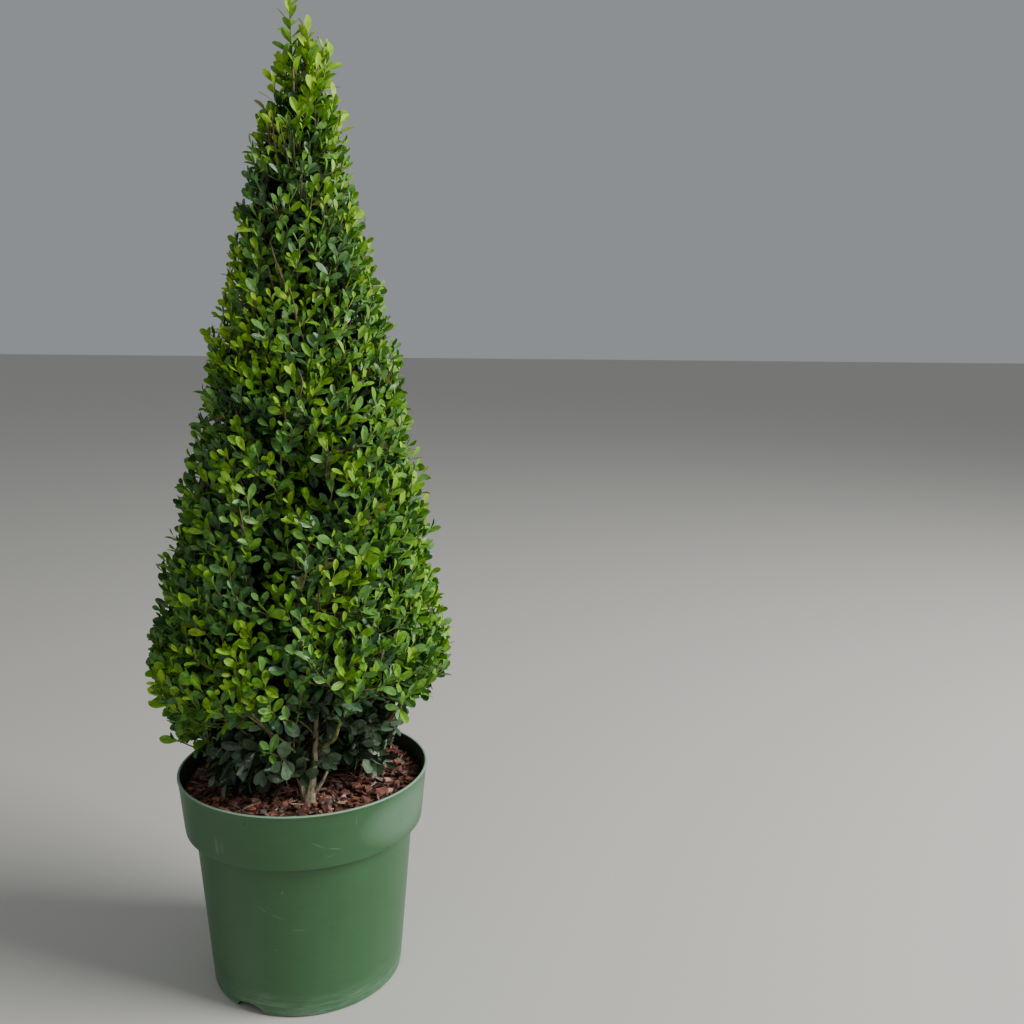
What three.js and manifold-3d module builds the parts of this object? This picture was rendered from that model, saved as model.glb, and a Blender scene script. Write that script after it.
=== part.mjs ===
// A clipped cone of small-leaved holly in a green nursery pot, in millimetres with +Z up.
// The origin is on the pot's axis at its flat underside.
import * as THREE from "three";
import { mergeVertices } from "three/addons/utils/BufferGeometryUtils.js";
import Module from "manifold-3d";

const wasm = await Module();
wasm.setup();

// Pot: a moulded 21 cm tub with a deep collar and three drain notches in its foot.
const potSides = 36;
const potHeight = 186;
const rimRadius = 105;
const lipDepth = 4;
const lipOverhang = 1.4;
const wall = 1.9;
const floorThickness = 2.5;
const collarBottom = 139;
const collarRadius = 99.3;
const bodyTopRadius = 91.9;
const baseRadius = 80.6;
const footRound = 6;
const notch = { count: 3, firstAzimuth: -116, width: 28, topWidth: 20, height: 8, reach: 15 };

// Root ball: it fills the pot up to the bark on its top.
const soilHeight = 173;
const potClearance = 0.5;

// Crown: a bulging cone, widest a little above the rim and drawn in to its skirt.
const crownAxisX = 5;
const crownTop = 800;
const widestHeight = 270;
const widestRadius = 127;
const skirtHeight = 180;
const skirtRadius = 87;
const skirtBow = 0.22;
const flankFall = 0.82;
const tipPower = 5;

// Foliage masses: rising tiers, each parted into sectors about the crown's axis.
const tierRise = 0.3;
const massGap = 0.6;
const limbGap = 0.3;
const leafGap = 2;
const boughRadius = 2.1;
const boughStep = 9;
const boughClimb = 0.8;
const boughEntry = 5;
const boughSag = 1.5;
const lowerSectors = ["back_right", "back_left", "front_left", "front_right"];
const tiers = [
  { name: "skirt", low: 140, high: 255, sectors: ["right", "back", "left", "front"], turn: 0 },
  { name: "lower", low: 255, high: 355, sectors: lowerSectors, turn: 45 },
  { name: "middle", low: 355, high: 455, sectors: ["back", "front_left", "front_right"], turn: 90 },
  { name: "upper", low: 455, high: 560, sectors: ["right", "left", "front"], turn: 30 },
  { name: "shoulder", low: 560, high: 660, sectors: ["right", "left"], turn: 20 },
  { name: "tip", low: 660, high: 800, sectors: ["shoots"], turn: 0 },
];
const coreInset = 23;
const coreBulge = 0.85;
const coreLump = 0.14;
const coreShare = 0.42;
const coreBore = 0.24;
const boreLevel = 60;
const coreSides = 20;
const skirtUndersides = { skirt_right: 186, skirt_back: 186, skirt_left: 186, skirt_front: 212 };
const tipCoreLift = 10;
const shootFoot = 700;
const shootTips = [[5, 0, 789], [27, 3, 752]];
const shootSpread = 9;
const shootLeaves = 7;

// Twigs and leaves: each leaf stands for two or three of the real ones.
const sprayStep = 56;
const sprayRise = 48;
const twigRadius = 2.4;
const twigTaper = 0.3;
const kneeDrop = 18;
const stemReach = 65;
const stemInset = 37;
const limbSamples = 60;
const rootDepth = 0.8;
const leafLength = 32;
const leafWidth = 17;
const leafThickness = 1.5;
const leavesPerTwig = 4;
const goldenTurn = 137.5;
const simplifyBy = 0.1;
const shortestEdge = 0.004;
const seedStep = 1000;
const leafSpread = 56;
const tipLeafLean = 12;
const leafSizes = [1, 0.85, 0.7, 0.55];
const leafTurns = [0, 35, -35];

const potColour = 0x4f7f55;
const barkChipColour = 0x5a3526;
const barkColour = 0x8c7f68;
const foliageColour = 0x3f6a2c;

const radians = THREE.MathUtils.degToRad;
const vec = (x, y, z) => new THREE.Vector3(x, y, z);

// A seeded run of numbers from 0 to 1.
function seeded(seed) {
  let state = seed >>> 0;
  return () => {
    state = (Math.imul(state, 1664525) + 1013904223) >>> 0;
    return state / 4294967296;
  };
}

function toSolid(geometry) {
  const bare = geometry.clone();
  bare.deleteAttribute("normal");
  bare.deleteAttribute("uv");
  const merged = mergeVertices(bare, 1e-4);
  return new wasm.Manifold(new wasm.Mesh({
    numProp: 3,
    vertProperties: merged.attributes.position.array,
    triVerts: new Uint32Array(merged.index.array),
  }));
}

function toGeometry(solid) {
  const mesh = solid.getMesh();
  const geometry = new THREE.BufferGeometry();
  geometry.setAttribute("position", new THREE.BufferAttribute(mesh.vertProperties, 3));
  geometry.setIndex(new THREE.BufferAttribute(mesh.triVerts, 1));
  return geometry;
}

// The largest body of a solid: loose scraps are dropped and sealed hollows are filled.
function largestBody(solid) {
  return solid.decompose().reduce((best, body) => (body.volume() > best.volume() ? body : best));
}

function named(name, geometry, color, roughness) {
  const shown = geometry.index ? geometry.toNonIndexed() : geometry;
  shown.computeVertexNormals();
  const mesh = new THREE.Mesh(shown, new THREE.MeshStandardMaterial({ color, roughness, metalness: 0 }));
  mesh.name = name;
  return mesh;
}

// A turned solid about +Z from [radius, height] pairs that run up the outside and end on the axis.
function turned(profile, sides) {
  const points = profile.map(([radius, height]) => new THREE.Vector2(radius, height));
  return new THREE.LatheGeometry(points, sides).rotateX(Math.PI / 2);
}

// The pot's wall between its foot and its collar, pushed inwards by inset.
function bodyRadius(height, inset) {
  const share = (height - footRound) / (collarBottom - footRound);
  return THREE.MathUtils.lerp(baseRadius, bodyTopRadius, share) - inset;
}

function collarRadiusAt(height, inset) {
  const share = (height - collarBottom) / (potHeight - collarBottom);
  return THREE.MathUtils.lerp(collarRadius, rimRadius - lipOverhang, share) - inset;
}

function potGeometry() {
  const corner = [0, 1, 2, 3].map((step) => {
    const angle = radians(step * 30);
    return [baseRadius - footRound * (1 - Math.sin(angle)), footRound * (1 - Math.cos(angle))];
  });
  const step = collarBottom + wall;
  const profile = [
    [0, 0],
    ...corner,
    [bodyRadius(collarBottom, 0), collarBottom],
    [collarRadius, collarBottom],
    [collarRadiusAt(potHeight - lipDepth, 0), potHeight - lipDepth],
    [rimRadius, potHeight - 0.8 * lipDepth],
    [rimRadius, potHeight - 0.3 * lipDepth],
    [rimRadius - lipOverhang, potHeight],
    [collarRadiusAt(potHeight, wall), potHeight - 0.2 * lipDepth],
    [collarRadiusAt(step, wall), step],
    [bodyRadius(collarBottom, wall), step],
    [bodyRadius(footRound, wall), footRound],
    [baseRadius - footRound, floorThickness],
    [0, floorThickness],
  ];
  let solid = toSolid(turned(profile, potSides));
  for (let k = 0; k < notch.count; k++) {
    solid = solid.subtract(toSolid(notchCutter(notch.firstAzimuth + (360 * k) / notch.count)));
  }
  return toGeometry(solid);
}

// An arched opening in the foot, cut from outside through the rounded corner.
function notchCutter(azimuth) {
  const shape = new THREE.Shape();
  shape.moveTo(-notch.width / 2, -1);
  shape.lineTo(notch.width / 2, -1);
  shape.lineTo(notch.topWidth / 2, 0.75 * notch.height);
  shape.lineTo(0, notch.height);
  shape.lineTo(-notch.topWidth / 2, 0.75 * notch.height);
  shape.closePath();
  const cutter = new THREE.ExtrudeGeometry(shape, { depth: 2 * notch.reach, bevelEnabled: false });
  cutter.rotateX(Math.PI / 2);
  cutter.translate(0, baseRadius + notch.reach, 0);
  cutter.rotateZ(radians(azimuth - 90));
  return cutter;
}

function rootBallGeometry() {
  const inset = wall + potClearance;
  const step = collarBottom + wall + potClearance;
  const profile = [
    [0, floorThickness + potClearance],
    [baseRadius - footRound - potClearance, floorThickness + potClearance],
    [bodyRadius(footRound, inset), footRound],
    [bodyRadius(collarBottom, inset), step],
    [collarRadiusAt(step, inset), step],
    [collarRadiusAt(soilHeight - 2, inset), soilHeight - 2],
    [collarRadiusAt(soilHeight, inset) - 2, soilHeight],
    [0, soilHeight],
  ];
  return turned(profile, potSides);
}

// Crown outline: the radius that the leaf tips reach at a height.
function outlineRadius(height) {
  if (height < widestHeight) {
    const fall = (widestHeight - height) / (widestHeight - skirtHeight);
    const drawIn = widestRadius - skirtRadius;
    return widestRadius - drawIn * ((1 + skirtBow) * fall - skirtBow * fall * fall);
  }
  const rise = (height - widestHeight) / (crownTop - widestHeight);
  return widestRadius * Math.max(0, 1 - flankFall * rise - (1 - flankFall) * rise ** tipPower);
}

// A limb is a smooth path with a radius at each of its points.
function limb(name, points, radii, sides) {
  const path = new THREE.CatmullRomCurve3(points.map(([x, y, z]) => vec(x, y, z)), false, "centripetal");
  const last = radii.length - 1;
  const radiusAt = (share) => {
    const place = Math.min(share * last, last - 1e-9);
    const k = Math.floor(place);
    return THREE.MathUtils.lerp(radii[k], radii[k + 1], place - k);
  };
  const tip = path.getPoint(1);
  const heading = path.getTangent(1);
  return { name, path, radiusAt, spans: Math.max(2, 2 * last), sides, tip, heading };
}

// A tapering limb: a cylinder whose rings are moved onto the path. Its foot ring lies level.
function limbGeometry({ path, radiusAt, spans, sides }, levelFoot) {
  const geometry = new THREE.CylinderGeometry(1, 1, 1, sides, spans);
  const position = geometry.attributes.position;
  const frames = path.computeFrenetFrames(spans, false);
  const up = vec(0, 0, 1);
  for (let i = 0; i < position.count; i++) {
    const share = position.getY(i) + 0.5;
    const ring = Math.round(share * spans);
    const level = levelFoot && ring === 0;
    const along = level ? up : path.getTangent(share);
    const side = frames.normals[ring].clone().projectOnPlane(along).normalize();
    const across = along.clone().cross(side);
    const radius = radiusAt(share);
    const centre = path.getPoint(share);
    centre.addScaledVector(across, position.getX(i) * radius);
    centre.addScaledVector(side, position.getZ(i) * radius);
    position.setXYZ(i, centre.x, centre.y, centre.z);
  }
  return geometry;
}

// The trunk leans back from its foot at the pot's front to the crown's axis, where it ends in the tip.
const foot = soilHeight + limbGap;
const trunkPath = [
  [12, -50, foot], [12.5, -50, foot + 6], [14, -49, foot + 22], [16, -45, 240], [14, -33, 300],
  [10, -18, 385], [7, -8, 480], [6, -3, 580], [6, 0, 668],
];
const trunkRadii = [6.4, 4.6, 3.5, 3.2, 3.0, 2.8, 2.4, 2.0, 1.5];
const trunk = limb("trunk", trunkPath, trunkRadii, 8);

// Four more stems rise from the bark, each to the skirt mass on its side.
const stemPaths = {
  front_stem: [[2, -47, foot], [-4, -45, foot + 16], [-14, -43, 206], [-25, -47, 228]],
  right_stem: [[58, 2, foot], [60, 3, foot + 12], [63, 3, 202], [66, 2, 222]],
  left_stem: [[-64, -18, foot], [-62, -15, foot + 12], [-60, -9, 202], [-58, -4, 222]],
  back_stem: [[-8, 46, foot], [-7, 47, foot + 12], [-3, 51, 202], [2, 55, 222]],
};
const stemRadii = [4.2, 3.0, 2.5, 2.1];
const stems = Object.entries(stemPaths).map(([name, points]) => limb(name, points, stemRadii, 6));
const fixedLimbs = [trunk, ...stems];

// A bough climbs from the trunk to where it enters its mass, at the rim of the bore.
function boughTo(mass) {
  const reach = boreRadius(mass.tier) + boughEntry;
  const end = vec(crownAxisX + reach * Math.cos(mass.middle), reach * Math.sin(mass.middle), 0);
  end.z = mass.tier.low + tierRise * reach + 2 * boughEntry + boughStep * mass.place;
  const abreast = trunk.path.getPoint(trunkShareAt(end.z));
  const across = Math.hypot(end.x - abreast.x, end.y - abreast.y);
  const share = trunkShareAt(end.z - boughClimb * across);
  const start = trunk.path.getPoint(share);
  const outward = vec(end.x - start.x, end.y - start.y, 0).normalize();
  start.addScaledVector(outward, trunk.radiusAt(share) + limbGap + boughClimb * boughRadius);
  const middle = start.clone().lerp(end, 0.5);
  middle.z -= boughSag;
  const points = [start.toArray(), middle.toArray(), end.toArray()];
  return limb("bough_" + mass.name, points, [boughRadius, 0.7 * boughRadius], 6);
}

// The hollow middle of a tier, where only limbs run.
function boreRadius(tier) {
  return coreBore * outlineRadius(tier.low + boreLevel);
}

// How far along the trunk a height lies.
function trunkShareAt(height) {
  let low = 0;
  let high = 1;
  for (let k = 0; k < 30; k++) {
    const middle = (low + high) / 2;
    if (trunk.path.getPoint(middle).z < height) low = middle;
    else high = middle;
  }
  return low;
}

// Each mass has its tier, its sector's middle and half width, and a seed of its own.
function listMasses() {
  return tiers.flatMap((tier, row) => {
    const count = tier.sectors.length;
    return tier.sectors.map((sector, place) => ({
      name: tier.name + "_" + sector,
      tier,
      lowest: row === 0,
      whole: count === 1,
      middle: radians(tier.turn + (360 * place) / count),
      half: Math.PI / count,
      place,
      seed: 100 * row + place + 1,
    }));
  });
}

// The limb whose tip carries a mass.
function carrierOf(mass) {
  if (mass.lowest) return stems.find((stem) => mass.name === stem.name.replace(/(.*)_stem/, "skirt_$1"));
  return mass.whole ? trunk : boughTo(mass);
}

// Place in the crown: distance from its axis, tier level and turn away from the mass's middle.
function placeOf(mass, point) {
  const x = point.x - crownAxisX;
  const radius = Math.hypot(x, point.y);
  let turn = Math.atan2(point.y, x) - mass.middle;
  turn = Math.atan2(Math.sin(turn), Math.cos(turn));
  return { radius, level: point.z - tierRise * radius, turn };
}

function insideSpace(mass, point, margin = massGap) {
  const { radius, level, turn } = placeOf(mass, point);
  const reach = outlineRadius(point.z) + (mass.whole ? shootSpread : 0);
  if (radius > reach || point.z < skirtHeight || point.z > crownTop) return false;
  if (level < mass.tier.low + margin || (level > mass.tier.high - margin && !mass.whole)) return false;
  const side = mass.half - Math.abs(turn);
  return mass.whole || (side > 0 && (side > Math.PI / 2 || radius * Math.sin(side) > margin));
}

function clearOfLimbs(points, near) {
  const isClear = ({ centre, radius }) => points.every((point) => point.distanceTo(centre) > radius + leafGap);
  return near.every(isClear);
}

// Where the core's side meets a tier's sloping border, found by closing in on it.
function borderRadius(level) {
  let radius = widestRadius;
  for (let k = 0; k < 40; k++) {
    const height = level + tierRise * radius;
    radius = (radius + outlineRadius(height) - leafDepth(height)) / 2;
  }
  return radius;
}

// The core of a mass: a lumpy ring sector inside the leaves. The skirt's has a level underside.
function coreSolid(mass, random) {
  const underside = skirtUndersides[mass.name];
  const rise = mass.lowest ? 0 : tierRise;
  const low = mass.lowest ? underside : mass.tier.low + massGap;
  const high = mass.tier.high - massGap;
  const bore = boreRadius(mass.tier);
  const lowRadius = mass.lowest ? outlineRadius(low) - 1.2 * coreInset : borderRadius(low);
  const lowHeight = low + rise * lowRadius;
  const highRadius = borderRadius(high);
  const highHeight = high + tierRise * highRadius;
  const bulges = [1 / 3, 2 / 3].map((share) => THREE.MathUtils.lerp(lowHeight, highHeight, share));
  const profile = [
    [bore, low + rise * bore],
    [lowRadius, lowHeight],
    ...bulges.map((height) => [outlineRadius(height) - coreBulge * leafDepth(height), height]),
    [highRadius, highHeight],
    [bore, high + tierRise * bore],
    [bore, low + rise * bore],
  ];
  const ring = turned(profile, coreSides);
  lumpy(ring, random, lowHeight + massGap, highHeight - massGap);
  return toSolid(ring).translate(crownAxisX, 0, 0).intersect(wedgeSolid(mass));
}

// Pushes the points between two heights in and out by the seed, alike where the ring closes.
function lumpy(ring, random, low, high) {
  const pushes = Array.from({ length: 4 * coreSides }, () => 1 + (random() - 0.6) * coreLump);
  const position = ring.attributes.position;
  for (let i = 0; i < position.count; i++) {
    const x = position.getX(i);
    const y = position.getY(i);
    const z = position.getZ(i);
    if (z < low || z > high) continue;
    const step = Math.round((Math.atan2(y, x) / (2 * Math.PI)) * coreSides + coreSides) % coreSides;
    const push = pushes[step + coreSides * (Math.round(z) % 4)];
    position.setXY(i, x * push, y * push);
  }
}

// The sector's prism, set back from its neighbours' by the gap between masses.
function wedgeSolid(mass) {
  const shape = new THREE.Shape();
  const apex = (2 * massGap) / Math.sin(Math.min(mass.half, Math.PI / 2));
  shape.moveTo(apex, 0);
  for (let k = -4; k <= 4; k++) {
    const angle = (k / 4) * (mass.half - 0.002);
    shape.lineTo(apex + 2 * widestRadius * Math.cos(angle), 2 * widestRadius * Math.sin(angle));
  }
  shape.closePath();
  const wedge = new THREE.ExtrudeGeometry(shape, { depth: crownTop, bevelEnabled: false });
  return toSolid(wedge.rotateZ(mass.middle).translate(crownAxisX, 0, 0));
}

// The tip has no ring core but a low cone under its leader shoots.
function tipCore(mass) {
  const base = mass.tier.low + tipCoreLift;
  const rise = shootFoot + tipCoreLift - base;
  const cone = new THREE.CylinderGeometry(4, outlineRadius(base) - leafDepth(base), rise, 7);
  return toSolid(cone.rotateX(Math.PI / 2).translate(crownAxisX, 0, base + rise / 2));
}

// Leader shoots stand out of the tip and carry leaves along their whole length.
function growShoots(growth, solids) {
  shootTips.forEach(([x, y, z], k) => {
    const from = vec(crownAxisX + 2 * k, 0, shootFoot);
    const tip = vec(x, y, z);
    const middle = from.clone().lerp(tip, 0.5).add(vec(k, 0, 2 * k));
    solids.push(twigSolid(new THREE.CatmullRomCurve3([from, middle, tip], false, "centripetal")));
    growLeaves(growth, middle.clone().lerp(from, 0.7), tip, 90 * k, shootLeaves);
  });
}

// A three-sided twig along its path, tapering to a blunt tip.
function twigSolid(path) {
  const radiusAt = (share) => twigRadius * (1 - twigTaper * share);
  return toSolid(limbGeometry({ path, radiusAt, spans: 2, sides: 3 }, false));
}

// A leaf of eight faces, from a root sunk in its twig to its tip.
function leafCorners(root, along, face, size) {
  const length = leafLength * size;
  const side = along.clone().cross(face).normalize();
  const place = (share, across, lift) => root.clone()
    .addScaledVector(along, share * length)
    .addScaledVector(side, across)
    .addScaledVector(face, lift);
  const half = (leafWidth * size) / 2;
  return [
    place(-rootDepth / length, 0, 0), place(1, 0, 0), place(0.56, half, 0), place(0.56, -half, 0),
    place(0.3, 0, leafThickness / 2), place(0.3, 0, -leafThickness / 2),
  ];
}

function leafSolid(corners) {
  const faces = [[0, 2, 4], [2, 1, 4], [1, 3, 4], [3, 0, 4], [2, 0, 5], [1, 2, 5], [3, 1, 5], [0, 3, 5]];
  const geometry = new THREE.BufferGeometry().setFromPoints(corners);
  geometry.setIndex(faces.flat());
  const solid = toSolid(geometry);
  if (solid.volume() > 0) return solid;
  geometry.setIndex(faces.map(([a, b, c]) => [a, c, b]).flat());
  return toSolid(geometry);
}

// Points where sprays end: rows up the mass and steps round it, staggered and shaken by the seed.
function sprayTargets(mass, random) {
  const targets = [];
  const lowest = mass.lowest ? skirtHeight + 4 : mass.tier.low;
  for (let height = lowest; height < crownTop; height += sprayRise) {
    const radius = outlineRadius(height);
    const steps = Math.max(1, Math.round((2 * mass.half * radius) / sprayStep));
    for (let k = 0; k < steps; k++) {
      const turn = 0.92 * mass.half * ((2 * k + 1) / steps - 1) + 0.12 * (random() - 0.5);
      const z = height + (random() - 0.5) * 0.5 * sprayRise;
      targets.push({ azimuth: mass.middle + turn, height: z, roll: 360 * random() });
    }
  }
  return targets;
}

// How deep the leaves reach in from the outline: less near the tip, where the crown is slim.
function leafDepth(height) {
  return Math.min(coreInset, coreShare * outlineRadius(height));
}

function onCrown(azimuth, height, inset) {
  const radius = Math.max(0, outlineRadius(height) - inset);
  return vec(crownAxisX + radius * Math.cos(azimuth), radius * Math.sin(azimuth), height);
}

// Leaves spiral up a twig by the golden turn, the last one standing nearly straight on.
function growLeaves(growth, from, to, roll, count) {
  const along = to.clone().sub(from).normalize();
  const outward = vec(to.x - crownAxisX, to.y, 0.6 * outlineRadius(to.z)).normalize();
  const right = along.clone().cross(outward).normalize();
  const up = right.clone().cross(along);
  for (let k = 0; k < count; k++) {
    const last = k === count - 1;
    const root = from.clone().lerp(to, 0.4 + (0.56 * k) / (count - 1));
    const lean = radians(last ? tipLeafLean : leafSpread);
    const leaf = firstThatFits(leafTurns, leafSizes, (turn, size) => {
      const angle = radians(roll + goldenTurn * k + turn);
      const aside = right.clone().multiplyScalar(Math.cos(angle));
      aside.addScaledVector(up, 0.3 + 0.5 * Math.sin(angle));
      const heading = along.clone().multiplyScalar(Math.cos(lean));
      heading.addScaledVector(aside.normalize(), Math.sin(lean)).normalize();
      const face = outward.clone().projectOnPlane(heading).normalize();
      return fittedLeaf(growth, leafCorners(root, heading, face, size));
    });
    if (leaf) growth.placed.push(leaf);
  }
}

function meet(one, other) {
  return !one.intersect(other).isEmpty();
}

// The first leaf that fits, tried from the largest size and over each turn.
function firstThatFits(turns, sizes, make) {
  for (const size of sizes) {
    for (const turn of turns) {
      const made = make(turn, size);
      if (made) return made;
    }
  }
  return null;
}

// A leaf that would leave its mass's space, touch a limb or cut another leaf is refused.
function fittedLeaf({ mass, core, near, placed }, corners) {
  const middle = corners[0].clone().lerp(corners[1], 0.5);
  if (!corners.every((corner) => insideSpace(mass, corner))) return null;
  if (!clearOfLimbs([...corners, middle], near)) return null;
  const solid = leafSolid(corners);
  const beside = placed.filter((other) => other.middle.distanceTo(middle) < leafLength);
  const crossed = beside.some((other) => meet(other.solid, solid));
  return crossed || meet(core, solid) ? null : { solid, middle };
}

// Samples down the middle of every limb that leaves and twigs keep clear of.
function samplesOf({ path, radiusAt }) {
  return path.getPoints(limbSamples).map((centre, k) => ({ centre, radius: radiusAt(k / limbSamples) }));
}

// The mass's own stem runs on from its carrier into the middle of the mass.
function ownStem(mass, carrier) {
  const start = carrier.tip.clone().addScaledVector(carrier.heading, limbGap);
  const height = mass.tier.low + stemReach;
  const heart = mass.whole ? vec(crownAxisX, 0, shootFoot) : onCrown(mass.middle, height, stemInset);
  const bend = start.clone().lerp(heart, 0.5).addScaledVector(carrier.heading, 3);
  const points = [start.toArray(), bend.toArray(), heart.toArray()];
  return limb("stem", points, [carrier.radiusAt(1), 1.4, 1.1], 6);
}

// The path of a twig from the stem to a target, or nothing where it would leave the mass's space.
function twigPath(mass, stem, share, { azimuth, height }) {
  const tip = onCrown(azimuth, height, 0.45 * leafDepth(height));
  const knee = onCrown(azimuth, Math.max(height - kneeDrop, skirtHeight), 1.05 * leafDepth(height));
  knee.z = Math.max(knee.z, mass.tier.low + tierRise * placeOf(mass, knee).radius + 2 * twigRadius);
  const path = new THREE.CatmullRomCurve3([stem.path.getPoint(share), knee, tip], false, "centripetal");
  const along = path.getPoints(8).slice(1);
  return along.every((point) => insideSpace(mass, point, 1.3 * twigRadius)) ? path : null;
}

// One mass: twigs branch from its stem by the seed, leaves sit on the twigs, and all is one body.
function growMass(mass, carrier, allLimbs, seed) {
  const random = seeded(seed);
  const stem = ownStem(mass, carrier);
  const core = mass.whole ? tipCore(mass) : coreSolid(mass, seeded(seed));
  const solids = [toSolid(limbGeometry(stem, false)), core];
  const growth = { mass, core, near: allLimbs.flatMap(samplesOf), placed: [] };
  if (mass.whole) growShoots(growth, solids);
  for (const target of sprayTargets(mass, random)) {
    const path = twigPath(mass, stem, 0.4 + 0.5 * random(), target);
    if (!path || !clearOfLimbs(path.getPoints(8).slice(1), growth.near)) continue;
    solids.push(twigSolid(path));
    growLeaves(growth, path.points[1], path.points[2], target.roll, leavesPerTwig);
  }
  let joined = wasm.Manifold.union([...solids, ...growth.placed.map((leaf) => leaf.solid)]);
  for (const other of allLimbs) joined = joined.subtract(clearance(other));
  return largestBody(joined.simplify(simplifyBy));
}

// A mass that comes out with a sliver edge is grown again from the next seed.
function cleanMass(mass, carrier, allLimbs) {
  for (let seed = mass.seed; ; seed += seedStep) {
    const body = growMass(mass, carrier, allLimbs, seed);
    if (!hasSliver(body)) return body;
  }
}

function hasSliver(body) {
  const { triVerts, vertProperties } = body.getMesh();
  const corners = Array.from(triVerts, (k) => vec(...vertProperties.subarray(3 * k, 3 * k + 3)));
  return corners.some((corner, k) => {
    const next = corners[k % 3 === 2 ? k - 2 : k + 1];
    return corner.distanceTo(next) < shortestEdge;
  });
}

// A limb fattened by the gap that every mass keeps to it.
const clearances = new Map();
function clearance(other) {
  if (!clearances.has(other.name)) {
    const fat = { ...other, radiusAt: (share) => other.radiusAt(share) + 2 * limbGap };
    clearances.set(other.name, toSolid(limbGeometry(fat, false)));
  }
  return clearances.get(other.name);
}

const topiary = new THREE.Group();
topiary.add(named("pot", potGeometry(), potColour, 0.5));
topiary.add(named("root_ball", rootBallGeometry(), barkChipColour, 0.95));

const masses = listMasses();
const carriers = masses.map(carrierOf);
const boughs = carriers.filter((carrier) => !fixedLimbs.includes(carrier));
const allLimbs = [...fixedLimbs, ...boughs];
for (const each of allLimbs) {
  const fromSoil = fixedLimbs.includes(each);
  topiary.add(named(each.name, limbGeometry(each, fromSoil), barkColour, 0.85));
}
masses.forEach((mass, k) => {
  const solid = cleanMass(mass, carriers[k], allLimbs);
  topiary.add(named(mass.name, toGeometry(solid), foliageColour, 0.6));
});

export default topiary;
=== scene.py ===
import math

import bpy
import numpy as np
from mathutils import Matrix, Vector, noise


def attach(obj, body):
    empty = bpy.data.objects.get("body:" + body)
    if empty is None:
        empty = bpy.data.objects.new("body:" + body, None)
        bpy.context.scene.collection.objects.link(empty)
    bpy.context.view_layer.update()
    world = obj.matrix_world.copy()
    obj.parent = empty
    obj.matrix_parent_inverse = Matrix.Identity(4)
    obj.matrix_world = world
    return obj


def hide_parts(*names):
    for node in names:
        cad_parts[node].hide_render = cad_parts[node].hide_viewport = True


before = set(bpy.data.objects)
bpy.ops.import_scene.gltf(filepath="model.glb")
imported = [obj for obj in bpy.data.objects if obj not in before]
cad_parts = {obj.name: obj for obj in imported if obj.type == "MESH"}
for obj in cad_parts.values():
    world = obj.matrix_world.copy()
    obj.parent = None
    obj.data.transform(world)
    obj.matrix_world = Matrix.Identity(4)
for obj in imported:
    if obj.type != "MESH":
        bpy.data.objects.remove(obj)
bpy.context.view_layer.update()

# Looks for a potted, clipped holly cone. Sizes are in millimetres unless a note says otherwise.
mm = 0.001


# colours and materials

def linearColour(hexText):  # "4f7f55" as it looks on a screen, to the numbers a shader wants
    parts = [int(hexText[k:k + 2], 16) / 255 for k in (0, 2, 4)]
    return [v / 12.92 if v < 0.04045 else ((v + 0.055) / 1.055) ** 2.4 for v in parts] + [1.0]


def newMaterial(name, colour, roughness, specular=0.5):
    material = bpy.data.materials.new(name)
    material.use_nodes = True
    shader = material.node_tree.nodes["Principled BSDF"]
    shader.inputs["Base Color"].default_value = linearColour(colour)
    shader.inputs["Roughness"].default_value = roughness
    shader.inputs["Specular IOR Level"].default_value = specular
    return material, material.node_tree, shader


def addNode(tree, kind, **settings):
    node = tree.nodes.new(kind)
    for key, value in settings.items():
        if key in node.inputs:
            node.inputs[key].default_value = value
        else:
            setattr(node, key, value)
    return node


def addNoise(tree, scale, detail=3.0, stretch=(1, 1, 1), roughness=0.55):  # noise in the part's own space
    place = addNode(tree, "ShaderNodeTexCoord")
    mapping = addNode(tree, "ShaderNodeMapping", Scale=stretch)
    texture = addNode(tree, "ShaderNodeTexNoise", Scale=scale, Detail=detail, Roughness=roughness)
    tree.links.new(place.outputs["Object"], mapping.inputs["Vector"])
    tree.links.new(mapping.outputs["Vector"], texture.inputs["Vector"])
    return texture.outputs["Fac"]


def addRamp(tree, value, stops):  # stops are (place, hex colour)
    ramp = tree.nodes.new("ShaderNodeValToRGB")
    while len(ramp.color_ramp.elements) < len(stops):
        ramp.color_ramp.elements.new(0.5)
    for element, (place, colour) in zip(ramp.color_ramp.elements, stops):
        element.position = place
        element.color = linearColour(colour)
    tree.links.new(value, ramp.inputs["Fac"])
    return ramp.outputs["Color"]


def addRange(tree, value, low, high, newLow, newHigh):
    node = tree.nodes.new("ShaderNodeMapRange")
    for key, number in (("From Min", low), ("From Max", high), ("To Min", newLow), ("To Max", newHigh)):
        node.inputs[key].default_value = number
    tree.links.new(value, node.inputs["Value"])
    return node.outputs["Result"]


def addMath(tree, operation, first, second):  # first and second are sockets or numbers
    node = addNode(tree, "ShaderNodeMath", operation=operation)
    for socket, value in zip(node.inputs, (first, second)):
        if isinstance(value, (int, float)):
            socket.default_value = value
        else:
            tree.links.new(value, socket)
    return node.outputs["Value"]


def addMix(tree, share, first, second):  # share is a socket, the colours are sockets or hex texts
    node = addNode(tree, "ShaderNodeMix", data_type="RGBA")  # its colours are inputs 6 and 7, output 2
    tree.links.new(share, node.inputs["Factor"])
    for socket, value in ((node.inputs[6], first), (node.inputs[7], second)):
        if isinstance(value, str):
            socket.default_value = linearColour(value)
        else:
            tree.links.new(value, socket)
    return node.outputs[2]


def addBump(tree, shader, height, distance):  # distance in millimetres
    bump = addNode(tree, "ShaderNodeBump", Distance=distance * mm, Strength=1.0)
    tree.links.new(height, bump.inputs["Height"])
    tree.links.new(bump.outputs["Normal"], shader.inputs["Normal"])


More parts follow.
